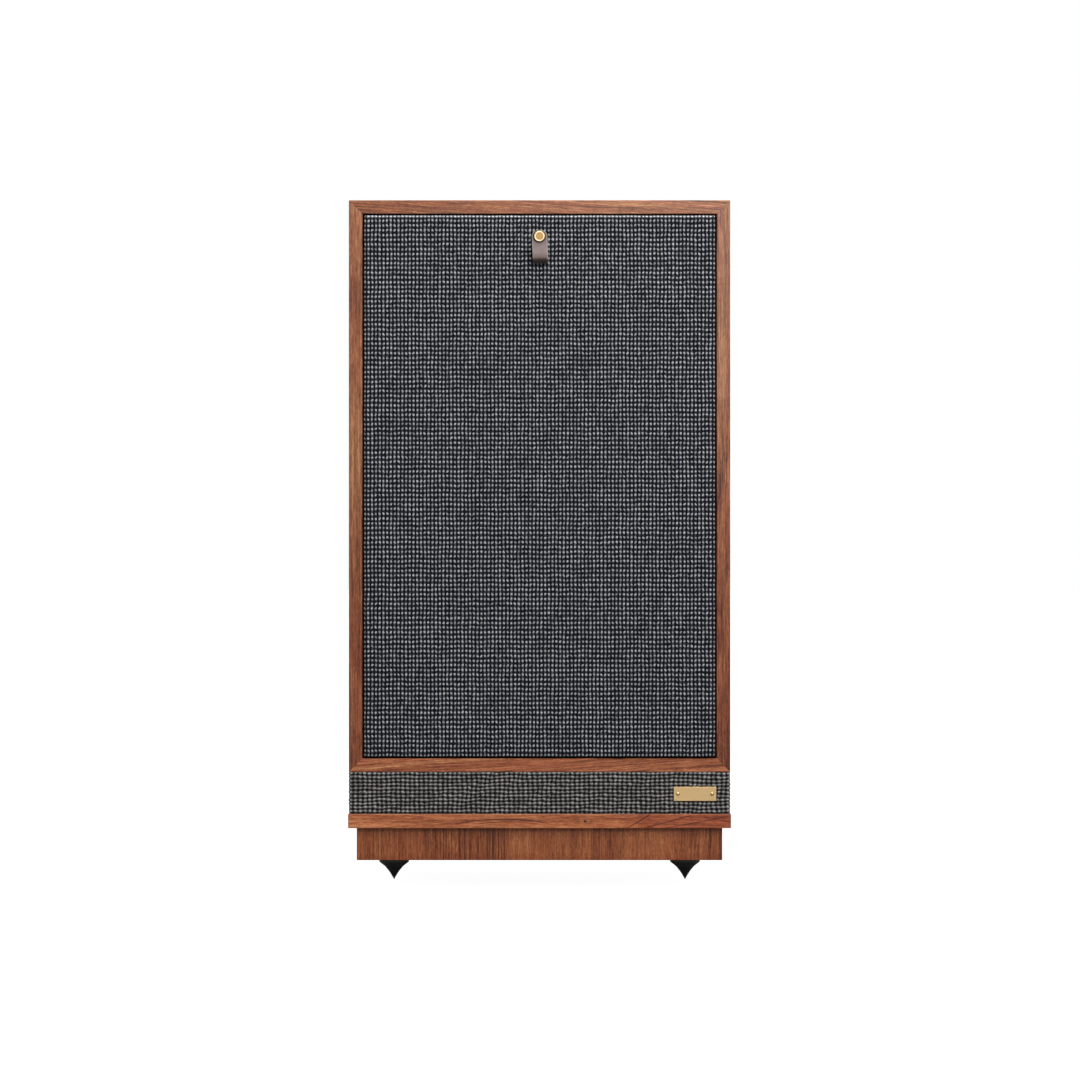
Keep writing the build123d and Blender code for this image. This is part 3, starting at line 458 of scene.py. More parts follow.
# ---------------------------------------------------------------- the grille's cloth
lo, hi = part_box("grille_cloth")
GX, GZ = (hi.x - lo.x) / 2, (hi.z - lo.z) / 2
GCZ = (hi.z + lo.z) / 2
Y_CLOTH = lo.y
PU, PV = 0.004730, 0.005950          # cell width and height
AMP = 0.00105
R_EDGE = 0.0026
BACK = 0.0118                        # how far the cloth runs back along the frame's sides
SUB = 3

base_y = Y_CLOTH + 0.0010
half_x, half_z = GX - 0.0006, GZ - 0.0006
reach_x = half_x - R_EDGE + R_EDGE * math.pi / 2 + BACK
reach_z = half_z - R_EDGE + R_EDGE * math.pi / 2 + BACK
n_x, n_z = int(round(2 * reach_x / (PU / SUB))), int(round(2 * reach_z / (PV / SUB)))


turn_z = half_z - R_EDGE + R_EDGE * 0.80          # where the cloth starts to turn over the top edge


def build_grille_cloth():
    verts, weave_at, keep_flag, top_highlight_at = [], [], [], []
    ss = [(-reach_x + 2 * reach_x * i / n_x) for i in range(n_x + 1)]
    tt = [(-reach_z + 2 * reach_z * j / n_z) for j in range(n_z + 1)]
    arc_x = half_x - R_EDGE + R_EDGE * math.pi / 2
    arc_z = half_z - R_EDGE + R_EDGE * math.pi / 2
    for t in tt:
        z, dz, tz = rounded(t, half_z, R_EDGE)
        for s in ss:
            x, dx, tx = rounded(s, half_x, R_EDGE)
            u, v = s / PU + 200.0, (t - turn_z) / PV + 260.5
            wu, wv = wander(u, v, 1.3, 0.15)
            uu, vv = u + wu, v + wv
            h = nub_height(uu, vv) * (0.72 + 0.42 * cell_lift(math.floor(uu), math.floor(vv), 0.4))
            nx, nz = math.sin(tx), math.sin(tz)
            ny = -max(0.0, math.cos(tx) * math.cos(tz))
            ln = math.sqrt(nx * nx + ny * ny + nz * nz) or 1.0
            edge = max(0.0, math.sin(abs(tz))) * max(0.0, math.cos(tz))
            out = AMP * (h - 0.35) + 0.0003 * edge
            verts.append((x + nx / ln * out, base_y + dx + dz + ny / ln * out, GCZ + z + nz / ln * out))
            weave_at.append((uu, vv, h))
            # painted highlight mask: above zero only where the cloth turns over the top edge, where the yarn colour is
            # lightened; stored as the 'fold' attribute
            top_highlight_at.append(max(0.0, min(1.0, math.sin(max(0.0, tz)) * 1.6 - 0.15)) * (1.0 if t < arc_z + 0.0012 else 0.0))
            keep_flag.append((abs(s) > arc_x + 1e-6, abs(t) > arc_z + 1e-6))
    faces = []
    w = n_x + 1
    for j in range(n_z):
        for i in range(n_x):
            q = (j * w + i, j * w + i + 1, (j + 1) * w + i + 1, (j + 1) * w + i)
            if any(keep_flag[k][0] and keep_flag[k][1] for k in q):
                continue
            faces.append(q)
    used = sorted({k for f in faces for k in f})
    back = {k: i for i, k in enumerate(used)}
    ob = mesh_object("grille_weave", [verts[k] for k in used], [tuple(back[k] for k in f) for f in faces])
    at = ob.data.attributes.new("weave", "FLOAT_VECTOR", "POINT")
    at.data.foreach_set("vector", np.array([weave_at[k] for k in used], np.float32).ravel())
    at = ob.data.attributes.new("fold", "FLOAT", "POINT")
    at.data.foreach_set("value", np.array([top_highlight_at[k] for k in used], np.float32))
    return ob


cloth = build_grille_cloth()
paint(cloth, weave("grille_yarn", (0.47, 0.485, 0.525), (0.0034, 0.0044, 0.0078), 0.04))
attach(cloth, "grille")
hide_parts("grille_cloth")

# ---------------------------------------------------------------- the vent band's cloth
lo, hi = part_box("vent_frame")
BX, BY0, BY1 = hi.x, lo.y, hi.y
BZ0, BZ1 = lo.z, hi.z
BCY, BHY = (BY0 + BY1) / 2, (BY1 - BY0) / 2
R_C = 0.0022
PU2, PV2 = 0.005940, 0.004730
AMP2 = 0.00125


def band_point(s):
    """A point and outward normal at distance s round the vent frame, from the middle of the back."""
    a, b = BX + 0.00045 - R_C, BHY + 0.00045 - R_C
    arc = R_C * math.pi / 2
    legs = [("line", (0, b + R_C), (-1, 0), a, (0, 1)), ("arc", (-a, b), math.pi / 2, arc), ("line", (-a - R_C, b), (0, -1), 2 * b, (-1, 0)),
            ("arc", (-a, -b), math.pi, arc), ("line", (-a, -b - R_C), (1, 0), 2 * a, (0, -1)), ("arc", (a, -b), -math.pi / 2, arc),
            ("line", (a + R_C, -b), (0, 1), 2 * b, (1, 0)), ("arc", (a, b), 0.0, arc), ("line", (a, b + R_C), (-1, 0), a, (0, 1))]
    for leg in legs:
        ln = leg[3]
        if s <= ln + 1e-9:
            if leg[0] == "line":
                return leg[1][0] + leg[2][0] * s, leg[1][1] + leg[2][1] * s, leg[4][0], leg[4][1]
            th = leg[2] + s / R_C
            return leg[1][0] + R_C * math.cos(th), leg[1][1] + R_C * math.sin(th), math.cos(th), math.sin(th)
        s -= ln
    return 0, b + R_C, 0, 1


def build_band():
    a, b = BX + 0.00045 - R_C, BHY + 0.00045 - R_C
    around = 4 * a + 4 * b + 2 * math.pi * R_C
    cells = int(round(around / PU2))
    sub_u, sub_v = 4, 4
    n_u = cells * sub_u
    rows = 11.2
    n_v = int(rows * sub_v) + 1
    verts, at_w, faces = [], [], []
    zc, half = (BZ0 + BZ1) / 2, (BZ1 - BZ0) / 2 - 0.0003
    for j in range(n_v + 1):
        t = -half + 2 * half * j / n_v
        tuck = max(0.0, abs(t) - (half - 0.0016)) / 0.0016
        for i in range(n_u):
            s = around * i / n_u
            x, y, nx, ny = band_point(s)
            u, v = cells * i / n_u, t / PV2 + 50.25
            # the wander is read on a circle so that it closes
            ang = 2 * math.pi * i / n_u
            wu, wv = wander(46.0 * math.cos(ang) + 90, 46.0 * math.sin(ang) + v, 5.0, 0.27)
            uu, vv = u + wu, v + wv
            h = nub_height(uu, vv) * (0.66 + 0.52 * cell_lift(math.floor(uu), math.floor(vv), 2.1))
            out = AMP2 * (h - 0.25) - 0.0007 * tuck * tuck
            verts.append((x + nx * out, BCY + y + ny * out, zc + t))
            at_w.append((uu, vv, h))
    for j in range(n_v):
        for i in range(n_u):
            k = (i + 1) % n_u
            faces.append((j * n_u + i, (j + 1) * n_u + i, (j + 1) * n_u + k, j * n_u + k))
    ob = mesh_object("vent_weave", verts, faces)
    at = ob.data.attributes.new("weave", "FLOAT_VECTOR", "POINT")
    at.data.foreach_set("vector", np.array(at_w, np.float32).ravel())
    me = ob.data
    bm = bmesh.new()
    bm.from_mesh(me)
    bmesh.ops.recalc_face_normals(bm, faces=bm.faces)
    out = sum(f.normal.dot(Vector((f.calc_center_median().x, f.calc_center_median().y - BCY, 0))) for f in list(bm.faces)[:400])
    if out < 0:
        bmesh.ops.reverse_faces(bm, faces=bm.faces)
    bm.to_mesh(me)
    bm.free()
    return ob, around


band, around = build_band()
paint(band, weave("vent_yarn", (0.44, 0.425, 0.42), (0.0036, 0.0030, 0.0032), 0.04, flip=True))
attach(band, "cabinet")
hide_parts("vent_cloth")

# ---------------------------------------------------------------- leather pull tab
slo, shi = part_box("tab_stud")
SX, SZ = (slo.x + shi.x) / 2, (slo.z + shi.z) / 2
tlo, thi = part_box("pull_tab")
TW = (thi.x - tlo.x) / 2
LEATHER = 0.0020
TE = 0.0083            # the strip ends this far above the stud, in a flattened round


def leather_tab():
    """One strip folded into a loop. Centre line from the back end, down, round the fold and up to the front end."""
    y0 = thi.y                           # back of the back layer
    pts = [(0.0010, TE * 1000), (0.0010, 4.0), (0.0010, -6.0), (0.0010, -18.0), (0.0011, -27.0), (0.0022, -31.4), (0.0050, -33.1), (0.0080, -31.6),
           (0.0091, -27.4), (0.0077, -20.7), (0.0048, -13.0), (0.0032, -7.6), (0.0030, -2.0), (0.0030, 4.0), (0.0030, TE * 1000)]
    ctrl = [Vector((0, y0 - v, SZ + h / 1000)) for v, h in pts]
    dense = []
    for i in range(len(ctrl) - 1):
        p0 = ctrl[max(0, i - 1)]
        p1, p2 = ctrl[i], ctrl[i + 1]
        p3 = ctrl[min(len(ctrl) - 1, i + 2)]
        for k in range(12):
            t = k / 12
            dense.append(0.5 * ((2 * p1) + (p2 - p0) * t + (2 * p0 - 5 * p1 + 4 * p2 - p3) * t * t + (3 * p1 - p0 - 3 * p2 + p3) * t ** 3))
    dense.append(ctrl[-1])
    cum = [0.0]
    for a, b in zip(dense, dense[1:]):
        cum.append(cum[-1] + (b - a).length)
    total = cum[-1]
    n = 110
    line = []
    j = 0
    for i in range(n + 1):
        # closer together at the rounded ends
        q = i / n
        s = total * (q - math.sin(2 * math.pi * q) / (2 * math.pi) * 0.55)
        while j < len(cum) - 2 and cum[j + 1] < s:
            j += 1
        f = (s - cum[j]) / max(1e-12, cum[j + 1] - cum[j])
        line.append((s, dense[j].lerp(dense[j + 1], min(1.0, f))))
    ring = []
    m_side, m_edge = 14, 5
    verts, faces, pale_edge = [], [], []
    prof = []
    er = LEATHER * 0.42
    for i in range(m_side + 1):
        prof.append((-1 + 2 * i / m_side, 1, 0))
    for i in range(1, m_edge):
        a = math.pi * i / m_edge
        prof.append((1, math.cos(a), math.sin(a)))
    for i in range(m_side + 1):
        prof.append((1 - 2 * i / m_side, -1, 0))
    for i in range(1, m_edge):
        a = math.pi * i / m_edge
        prof.append((-1, -math.cos(a), math.sin(a)))
    count = len(prof)
    for i, (s, p) in enumerate(line):
        a = line[max(0, i - 1)][1]
        b = line[min(n, i + 1)][1]
        tan = (b - a).normalized()
        nor = Vector((1, 0, 0)).cross(tan).normalized()
        end = min(s, total - s)
        half = TW if end >= TE else TW * math.sqrt(max(0.0, 1.0 - ((TE - end) / TE) ** 2))
        half = max(half, 0.0005)
        low = max(0.0, -(p.z - SZ) - 0.012) / 0.022      # the loop narrows a little towards the fold
        half = half * (1 - 0.045 * min(1.0, low))
        lean = Vector((0.00105 * max(0.0, -(p.z - SZ)) / 0.030, 0, 0))
        for across, t, bulge in prof:
            inner = half - er * 0.9
            xx = across * inner + (math.copysign(er * 0.9 * bulge, across) if bulge else 0.0)
            crown = 0.00012 * (1 - across * across)
            verts.append(p + lean + Vector((xx, 0, 0)) + nor * (t * (LEATHER / 2) * (1.0 if not bulge else 0.94) - (crown if t < 0 else -crown)))
            # 1 on the rounded edges, easing in near them: where the strip's colour is made lighter
            pale_edge.append(1.0 if bulge else max(0.0, (abs(across) - 0.86) / 0.14) * 0.5)
    for i in range(n):
        for k in range(count):
            kk = (k + 1) % count
            faces.append((i * count + k, i * count + kk, (i + 1) * count + kk, (i + 1) * count + k))
    for i, flip in ((0, False), (n, True)):
        ringv = [i * count + k for k in range(count)]
        faces.append(ringv if flip else ringv[::-1])
    ob = mesh_object("leather_tab", verts, faces, angle=60)
    at = ob.data.attributes.new("pale_edge", "FLOAT", "POINT")
    at.data.foreach_set("value", np.array(pale_edge, np.float32))
    bm = bmesh.new()
    bm.from_mesh(ob.data)
    bmesh.ops.recalc_face_normals(bm, faces=bm.faces)
    if bm.calc_volume(signed=True) < 0:
        bmesh.ops.reverse_faces(bm, faces=bm.faces)
    bm.to_mesh(ob.data)
    bm.free()
    return ob, total


tab, tab_len = leather_tab()

# the stud's hole through both layers
hole_v, hole_f = [], []
N = 40
for y in (thi.y + 0.004, tlo.y - 0.006):
    for i in range(N):
        a = 2 * math.pi * i / N
        hole_v.append((SX + 0.00212 * math.cos(a), y, SZ + 0.00212 * math.sin(a)))
for i in range(N):
    hole_f.append((i, (i + 1) % N, N + (i + 1) % N, N + i))
hole_f += [tuple(range(N))[::-1], tuple(range(N, 2 * N))]
cutter = mesh_object("cutter", hole_v, hole_f, smooth=False)
bm = bmesh.new()
bm.from_mesh(cutter.data)
bmesh.ops.recalc_face_normals(bm, faces=bm.faces)
bm.to_mesh(cutter.data)
bm.free()
mod = tab.modifiers.new("hole", "BOOLEAN")
mod.operation = "DIFFERENCE"
mod.solver = "EXACT"
mod.object = cutter
bpy.context.view_layer.update()
cut = bpy.data.meshes.new_from_object(tab.evaluated_get(bpy.context.evaluated_depsgraph_get()))
tab.modifiers.clear()
if len(cut.polygons) > 500:
    tab.data = cut
bpy.data.objects.remove(cutter)


def leather(name):
    m = Mat(name)
    x, y, z, co = m.co()
    cells = m.node("ShaderNodeTexVoronoi", feature="DISTANCE_TO_EDGE")
    m.t.links.new(co, cells.inputs["Vector"])
    cells.inputs["Scale"].default_value = 1150.0
    grain = m.span(cells.outputs["Distance"], 0.0, 0.10, 0.0, 1.0)
    cloud = m.noise(co, 130.0, 4.0, 0.6)
    fine = m.noise(co, 1700.0, 3.0, 0.6)
    crease = m.noise(m.vec(m.math("MULTIPLY", x, 40.0), m.math("MULTIPLY", y, 300.0), m.math("MULTIPLY", z, 420.0)), 1.0, 3.0, 0.6)
    c = m.ramp(m.math("ADD", m.math("MULTIPLY", cloud, 0.65), m.math("MULTIPLY", fine, 0.35)), [(0.3, (0.190, 0.142, 0.138)), (0.52, (0.245, 0.188, 0.184)), (0.75, (0.305, 0.242, 0.236))])
    c = m.mix(m.math("MULTIPLY", m.span(grain, 0.0, 1.0, 1.0, 0.0), 0.35), c, (0.13, 0.088, 0.078))
    pale_edge = m.attr("pale_edge").outputs["Fac"]
    away = m.math("SQRT", m.math("ADD", m.math("POWER", m.math("SUBTRACT", x, SX), 2.0), m.math("POWER", m.math("SUBTRACT", z, SZ), 2.0)))
    # painted shadow: a dark ring on the leather just round the stud
    c = m.mix(m.span(away, 0.0072, 0.0090, 0.86, 0.0, smooth=True), c, (0.030, 0.018, 0.014))
    # painted shade: the strip darkens below the stud and goes nearly black at the bottom fold, where it curves away
    # from the light
    low = m.math("ADD", m.math("SUBTRACT", SZ, z), m.math("MULTIPLY", m.math("SUBTRACT", cloud, 0.5), 0.004))
    c = m.mix(m.span(low, 0.019, 0.0265, 0.0, 0.62, smooth=True), c, (0.095, 0.058, 0.046))
    c = m.mix(m.span(low, 0.0262, 0.0300, 0.0, 0.97, smooth=True), c, (0.022, 0.011, 0.008))
    edge = m.mix(fine, (0.30, 0.25, 0.225), (0.52, 0.45, 0.41))
    # lighter colour along the rounded edges, faded out at the bottom fold under the painted shade
    c = m.mix(m.math("MULTIPLY", m.span(pale_edge, 0.15, 0.9, 0.0, 0.85), m.span(low, 0.0265, 0.0300, 1.0, 0.12)), c, edge)
    nrm = m.bump(grain, 0.35, 0.00009)
    nrm = m.bump(crease, 0.25, 0.00022, nrm)
    m.set(color=c, rough=m.span(cloud, 0.3, 0.7, 0.62, 0.52), spec=0.35, normal=nrm, sheen=0.08)
    return m.m


paint(tab, leather("tab_leather_grain"))
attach(tab, "pull_tab")
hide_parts("pull_tab")


# ---------------------------------------------------------------- driver: surround and spider
dlo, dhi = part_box("driver_basket")
DZ = (dlo.z + dhi.z) / 2
S0 = dlo.y


def lathe_y(name, prof, x, z, y0, seg=144, angle=35, closed=True):
    """Turned about a line along Y. prof are (radius, distance behind y0)."""
    verts, faces = [], []
    n = len(prof)
    for i in range(seg):
        a = 2 * math.pi * i / seg
        for r, s in prof:
            verts.append((x + r * math.cos(a), y0 + s, z + r * math.sin(a)))
    for i in range(seg):
        j = (i + 1) % seg
        for k in range(n if closed else n - 1):
            kk = (k + 1) % n
            faces.append((i * n + k, i * n + kk, j * n + kk, j * n + k))
    ob = mesh_object(name, verts, faces, angle=angle)
    bm = bmesh.new()
    bm.from_mesh(ob.data)
    bmesh.ops.recalc_face_normals(bm, faces=bm.faces)
    if bm.calc_volume(signed=True) < 0:
        bmesh.ops.reverse_faces(bm, faces=bm.faces)
    bm.to_mesh(ob.data)
    bm.free()
    return ob


def radial_blend(ob):
    """Bakes the object's transform into its mesh."""
    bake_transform(ob)


top, low = [], []
for i in range(25):
    a = math.pi * i / 24
    top.append((0.1052 - 0.0076 * math.cos(a), 0.0094 - 0.0076 * math.sin(a)))
    low.append((0.1052 - 0.0068 * math.cos(a), 0.0094 - 0.0068 * math.sin(a)))
prof = [(0.0956, 0.0095)] + top[1:-1] + [(0.1129, 0.0092), (0.1166, 0.0092), (0.1166, 0.00992), (0.1120, 0.00992)] + low[1:-1][::-1] + [(0.0983, 0.0104), (0.0956, 0.0104)]
surround = lathe_y("roll_surround", prof, 0.0, DZ, S0, seg=180)
radial_blend(surround)
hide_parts("cone_surround")
paint(surround, moulded("surround_rubber_mat", (0.020, 0.020, 0.021), rough=0.55, grain=0.4, scale=900.0))

a_line, b_line = [], []
for i in range(73):
    t = i / 72
    r = 0.0263 + (0.0660 - 0.0263) * t
    amp = 0.0016 if 0.06 < t < 0.97 else 0.0
    s = 0.0612 + amp * math.sin(2 * math.pi * 5 * (t - 0.06) / 0.91)
    a_line.append((r, s))
    b_line.append((r, s + 0.0006))
prof = a_line + [(0.0732, 0.0612), (0.0732, 0.0618)] + b_line[::-1]
spider = lathe_y("corrugated_spider", prof, 0.0, DZ, S0, seg=120)
radial_blend(spider)
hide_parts("cone_spider")


def spider_mat():
    m = Mat("spider_cloth_mat")
    _, _, _, co = m.co()
    n1 = m.noise(co, 1500.0, 3.0, 0.6)
    c = m.ramp(n1, [(0.3, (0.25, 0.13, 0.04)), (0.7, (0.50, 0.31, 0.12))])
    m.set(color=c, rough=0.75, normal=m.bump(n1, 0.5, 0.0002))
    return m.m


paint(spider, spider_mat())


# ---------------------------------------------------------------- damping pads
def pad(name, lo, hi, seed):
    """A lofty fibre pad: crowned faces, soft edges, an uneven surface."""
    c = (lo + hi) / 2
    h = (hi - lo) / 2
    verts, faces = [], []
    n = 14
    index = {}

    def vert(i, j, k):
        key = (i, j, k)
        if key not in index:
            p = Vector((i / n * 2 - 1, j / n * 2 - 1, k / n * 2 - 1))
            d = [p.x, p.y, p.z]
            m_ = [abs(q) for q in d]
            # round the edges where two or three faces meet
            e = sorted(m_)[1]
            soft = 1 - 0.035 * max(0.0, (e - 0.75) / 0.25) ** 2
            q = Vector((c.x + d[0] * h.x * soft, c.y + d[1] * h.y * soft, c.z + d[2] * h.z * soft))
            f = noise.noise(Vector((q.x * 22 + seed, q.y * 22, q.z * 22))) * 0.0014 + noise.noise(Vector((q.x * 90, q.y * 90 + seed, q.z * 90))) * 0.0005
            nrm = Vector(((q.x - c.x) / h.x ** 2, (q.y - c.y) / h.y ** 2, (q.z - c.z) / h.z ** 2)).normalized()
            q = q + nrm * (f - 0.0019)
            index[key] = len(verts)
            verts.append(q)
        return index[key]

    for axis in range(3):
        for side in (0, n):
            for a in range(n):
                for b in range(n):
                    quad = []
                    for da, db in ((0, 0), (1, 0), (1, 1), (0, 1)):
                        ijk = [0, 0, 0]
                        ijk[axis] = side
                        ijk[(axis + 1) % 3] = a + da
                        ijk[(axis + 2) % 3] = b + db
                        quad.append(vert(*ijk))
                    faces.append(quad if side else quad[::-1])
    ob = mesh_object(name, verts, faces)
    sub = ob.modifiers.new("sub", "SUBSURF")
    sub.levels = sub.render_levels = 1
    bpy.context.view_layer.update()
    me = bpy.data.meshes.new_from_object(ob.evaluated_get(bpy.context.evaluated_depsgraph_get()))
    ob.modifiers.clear()
    ob.data = me
    return ob


def wadding():
    m = Mat("wadding")
    _, _, _, co = m.co()
    n1 = m.noise(co, 260.0, 5.0, 0.7, distort=1.2)
    n2 = m.noise(co, 1500.0, 2.0, 0.6, distort=2.0)
    f = m.math("ADD", m.math("MULTIPLY", n1, 0.6), m.math("MULTIPLY", n2, 0.4))
    m.set(color=m.ramp(f, [(0.3, (0.42, 0.41, 0.39)), (0.7, (0.80, 0.79, 0.76))]), rough=0.95, spec=0.1, sheen=0.3, normal=m.bump(f, 0.9, 0.0012))
    return m.m


wad = wadding()
slo_, shi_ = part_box("side_damping_pads")
pads = []
for tag, x0, x1 in (("left", slo_.x, slo_.x + 0.025), ("right", shi_.x - 0.025, shi_.x)):
    p = pad("side_pad_" + tag, Vector((x0, slo_.y, slo_.z)), Vector((x1, shi_.y, shi_.z)), 3.0 if tag == "left" else 8.0)
    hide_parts("side_damping_pads")
    pads.append(p)
rlo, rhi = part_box("rear_damping_pad")
p = pad("rear_pad", Vector(rlo), Vector(rhi), 15.0)
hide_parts("rear_damping_pad")
pads.append(p)
for p in pads:
    paint(p, wad)
    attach(p, "cabinet")

# ---------------------------------------------------------------- finishes on the CAD pieces
paint_cad(["top_panel"], walnut("walnut_top", "x", "z", 1.0, v0=0.83, u0=-0.10, bow=0.06, core=0.018, ring=0.0034, tone=1.56, warm=0.98, contrast=0.70, slant=-0.085, tan=0.6, red=0.4, tint=(1.0, 1.17, 1.10)))
paint_cad(["bottom_panel"], walnut("walnut_bottom", "x", "z", 2.0, v0=0.085, u0=0.06, bow=0.10, core=0.020, ring=0.0036, tone=1.60, warm=0.98, contrast=0.70, slant=0.055, tan=0.6, red=0.4, tint=(1.0, 1.04, 1.02)))
# the side panels get painted shade: darker towards the bottom
paint_cad(["left_side_panel"], walnut("walnut_left", "z", "y", 3.0, v0=-0.03, u0=-0.35, bow=0.042, core=0.004, ring=0.0043, tone=1.17, contrast=0.7, waver=1.3, tint=(1.0, 1.11, 1.11), painted_shade=(0.56, 0.26, (0.77, 0.66, 0.64))))
paint_cad(["right_side_panel"], walnut("walnut_right", "z", "y", 4.0, v0=0.02, u0=1.35, bow=0.040, core=0.004, ring=0.0044, tone=1.17, contrast=0.7, waver=1.3, tint=(1.0, 1.12, 1.13), painted_shade=(0.56, 0.26, (0.84, 0.68, 0.64))))
paint_cad(["rear_panel"], walnut("walnut_rear", "z", "x", 5.0, v0=0.02, u0=-0.30, bow=0.060, core=0.004, ring=0.0047, tone=1.06, contrast=0.8, waver=1.3))
paint_cad(["base_board"], walnut("walnut_base", "x", "z", 6.0, v0=0.04, u0=-0.06, bow=0.20, core=0.012, ring=0.0050, tone=1.94, warm=1.06, contrast=0.50, streak=0.46, red=0.15, tan=0.35, knot=(0.0573, 0.0712, 0.0019), shade=(0.095, 0.138, (0.84, 0.71, 0.69)),
                                  arcs=((-0.0453, 0.0745, 0.0, 1.70, 0.066, 0.0017, 0.42), (-0.040, 0.0708, 0.0, 1.90, 0.045, 0.0013, 0.26), (-0.145, 0.0672, 0.05, 0.25, 0.060, 0.0014, 0.24),
                                        (0.1245, 0.0712, 0.62, 0.0, 0.016, 0.0022, 0.40), (0.163, 0.0712, 0.27, 0.0, 0.034, 0.0020, 0.30), (0.197, 0.0700, 0.19, 0.0, 0.044, 0.0018, 0.28))))
# the plinth boards get painted shade along their bottom edge
paint_cad(["plinth_front"], walnut("walnut_plinth_front", "z", "x", 7.0, v0=-0.6, core=0.02, ring=0.0060, tone=1.43, warm=1.20, contrast=0.34, streak=0.30, waver=0.8, lines=0.85, tan=0.12, red=0.35, painted_shade=(0.033, 0.0225, (0.90, 0.80, 0.76)), groups=((-0.225, -0.196, 0.7), (-0.144, -0.031, 1.0), (0.063, 0.097, 0.9), (0.190, 0.232, 1.0))))
paint_cad(["plinth_rear"], walnut("walnut_plinth_rear", "z", "x", 8.0, v0=-0.7, core=0.02, ring=0.0060, tone=1.43, warm=1.20, contrast=0.34, streak=0.30, waver=0.8, lines=0.85, tan=0.12, red=0.35, painted_shade=(0.033, 0.0225, (0.90, 0.80, 0.76)), groups=((-0.225, -0.196, 0.7), (-0.144, -0.031, 1.0), (0.063, 0.097, 0.9), (0.190, 0.232, 1.0))))
paint_cad(["plinth_left"], walnut("walnut_plinth_left", "z", "y", 9.0, v0=-0.8, core=0.02, ring=0.0060, tone=1.43, warm=1.20, contrast=0.34, streak=0.30, waver=0.8, lines=0.85, tan=0.12, red=0.35, painted_shade=(0.033, 0.0225, (0.90, 0.80, 0.76))))
paint_cad(["plinth_right"], walnut("walnut_plinth_right", "z", "y", 10.0, v0=-0.9, core=0.02, ring=0.0060, tone=1.43, warm=1.20, contrast=0.34, streak=0.30, waver=0.8, lines=0.85, tan=0.12, red=0.35, painted_shade=(0.033, 0.0225, (0.90, 0.80, 0.76))))

paint_cad(["front_baffle", "vent_frame", "grille_frame"], painted_board("black_paint"))
paint_cad(["window_braces", "corner_spacers", "plinth_corner_blocks"], bare_board("fibreboard"))

brass = metal("brass_brushed", (0.86, 0.68, 0.40), rough=0.36, brushed="x", sandy=0.35)
paint_cad(["nameplate"], metal("brass_plate", (0.93, 0.66, 0.33), rough=0.46, brushed="x", sandy=1.3, spread=0.18, dark=0.80))
paint_cad(["nameplate_pins"], metal("brass_pins", (0.94, 0.66, 0.34), rough=0.20, spread=0.05))


def stud_mat():
    """Bright turned rim round a darker grained centre."""
    m = Mat("brass_stud", metal=1.0)
    x, y, z, co = m.co()
    d = m.math("SQRT", m.math("ADD", m.math("POWER", m.math("SUBTRACT", x, SX), 2.0), m.math("POWER", m.math("SUBTRACT", z, SZ), 2.0)))
    centre = m.span(d, 0.0044, 0.0049, 1.0, 0.0, smooth=True)
    outside = m.span(d, 0.0064, 0.0068, 0.0, 1.0, smooth=True)
    grit = m.noise(co, 1400.0, 3.0, 0.7)
    turned = m.noise(None, 1.0, 2.0, 0.6, dims="1D", w=m.math("MULTIPLY", d, 5200.0))
    c = m.mix(grit, (0.44, 0.27, 0.105), (0.66, 0.44, 0.20))
    c = m.mix(centre, m.mix(turned, (0.72, 0.56, 0.33), (0.84, 0.69, 0.44)), c)
    c = m.mix(outside, c, (0.30, 0.18, 0.07))
    h = m.mix(centre, turned, grit)
    m.set(color=c, rough=m.span(centre, 0.0, 1.0, 0.34, 0.62), normal=m.bump(h, 0.35, 0.00008))
    return m.m


paint_cad(["tab_stud"], stud_mat())
paint_cad(["post_studs", "black_post_washer", "red_post_washer"], metal("gold_plated", (0.93, 0.72, 0.36), rough=0.20, spread=0.06))
paint_cad(["spike_front_left", "spike_front_right", "spike_rear_left", "spike_rear_right"], moulded("spike_black_mat", (0.010, 0.010, 0.011), rough=0.24, grain=0.06, coat=0.25))
paint_cad(["cabinet_bolts", "spike_inserts", "magnet_strike_discs", "magnet_top_plate", "pole_piece"], metal("zinc_plate", (0.62, 0.62, 0.60), rough=0.36))
paint_cad(["grille_magnets"], metal("nickel_plate", (0.74, 0.73, 0.70), rough=0.18, spread=0.05))
paint_cad(["driver_bolts", "terminal_plate_screws"], metal("black_oxide", (0.055, 0.055, 0.060), rough=0.34))
paint_cad(["driver_basket"], moulded("basket_coat", (0.022, 0.022, 0.024), rough=0.45, grain=0.6, scale=1100.0))
paint_cad(["driver_gasket"], moulded("gasket_mat", (0.015, 0.015, 0.015), rough=0.85, grain=0.8))
paint_cad(["tweeter_magnet"], moulded("tweeter_coat", (0.03, 0.03, 0.033), rough=0.4, grain=0.4))
paint_cad(["tweeter_horn"], moulded("horn_mat", (0.022, 0.022, 0.024), rough=0.38, grain=0.25))
paint_cad(["port_tube", "diffuser_cone"], moulded("port_mat", (0.022, 0.022, 0.024), rough=0.5, grain=0.45))
paint_cad(["tweeter_diaphragm"], metal("dome_mat", (0.86, 0.86, 0.87), rough=0.22, spread=0.05))
paint_cad(["magnet_ring"], moulded("ferrite_mat", (0.035, 0.035, 0.038), rough=0.55, grain=0.7))
paint_cad(["voice_coil"], metal("coil_mat", (0.80, 0.42, 0.24), rough=0.30, brushed="x"))
paint_cad(["terminal_plate"], moulded("plate_mat", (0.020, 0.020, 0.022), rough=0.35, grain=0.3))
paint_cad(["post_collars"], moulded("collar_mat", (0.018, 0.018, 0.020), rough=0.30, grain=0.15, coat=0.3))
paint_cad(["black_post_knob"], moulded("knob_black_mat", (0.016, 0.016, 0.018), rough=0.22, grain=0.08, coat=0.5))
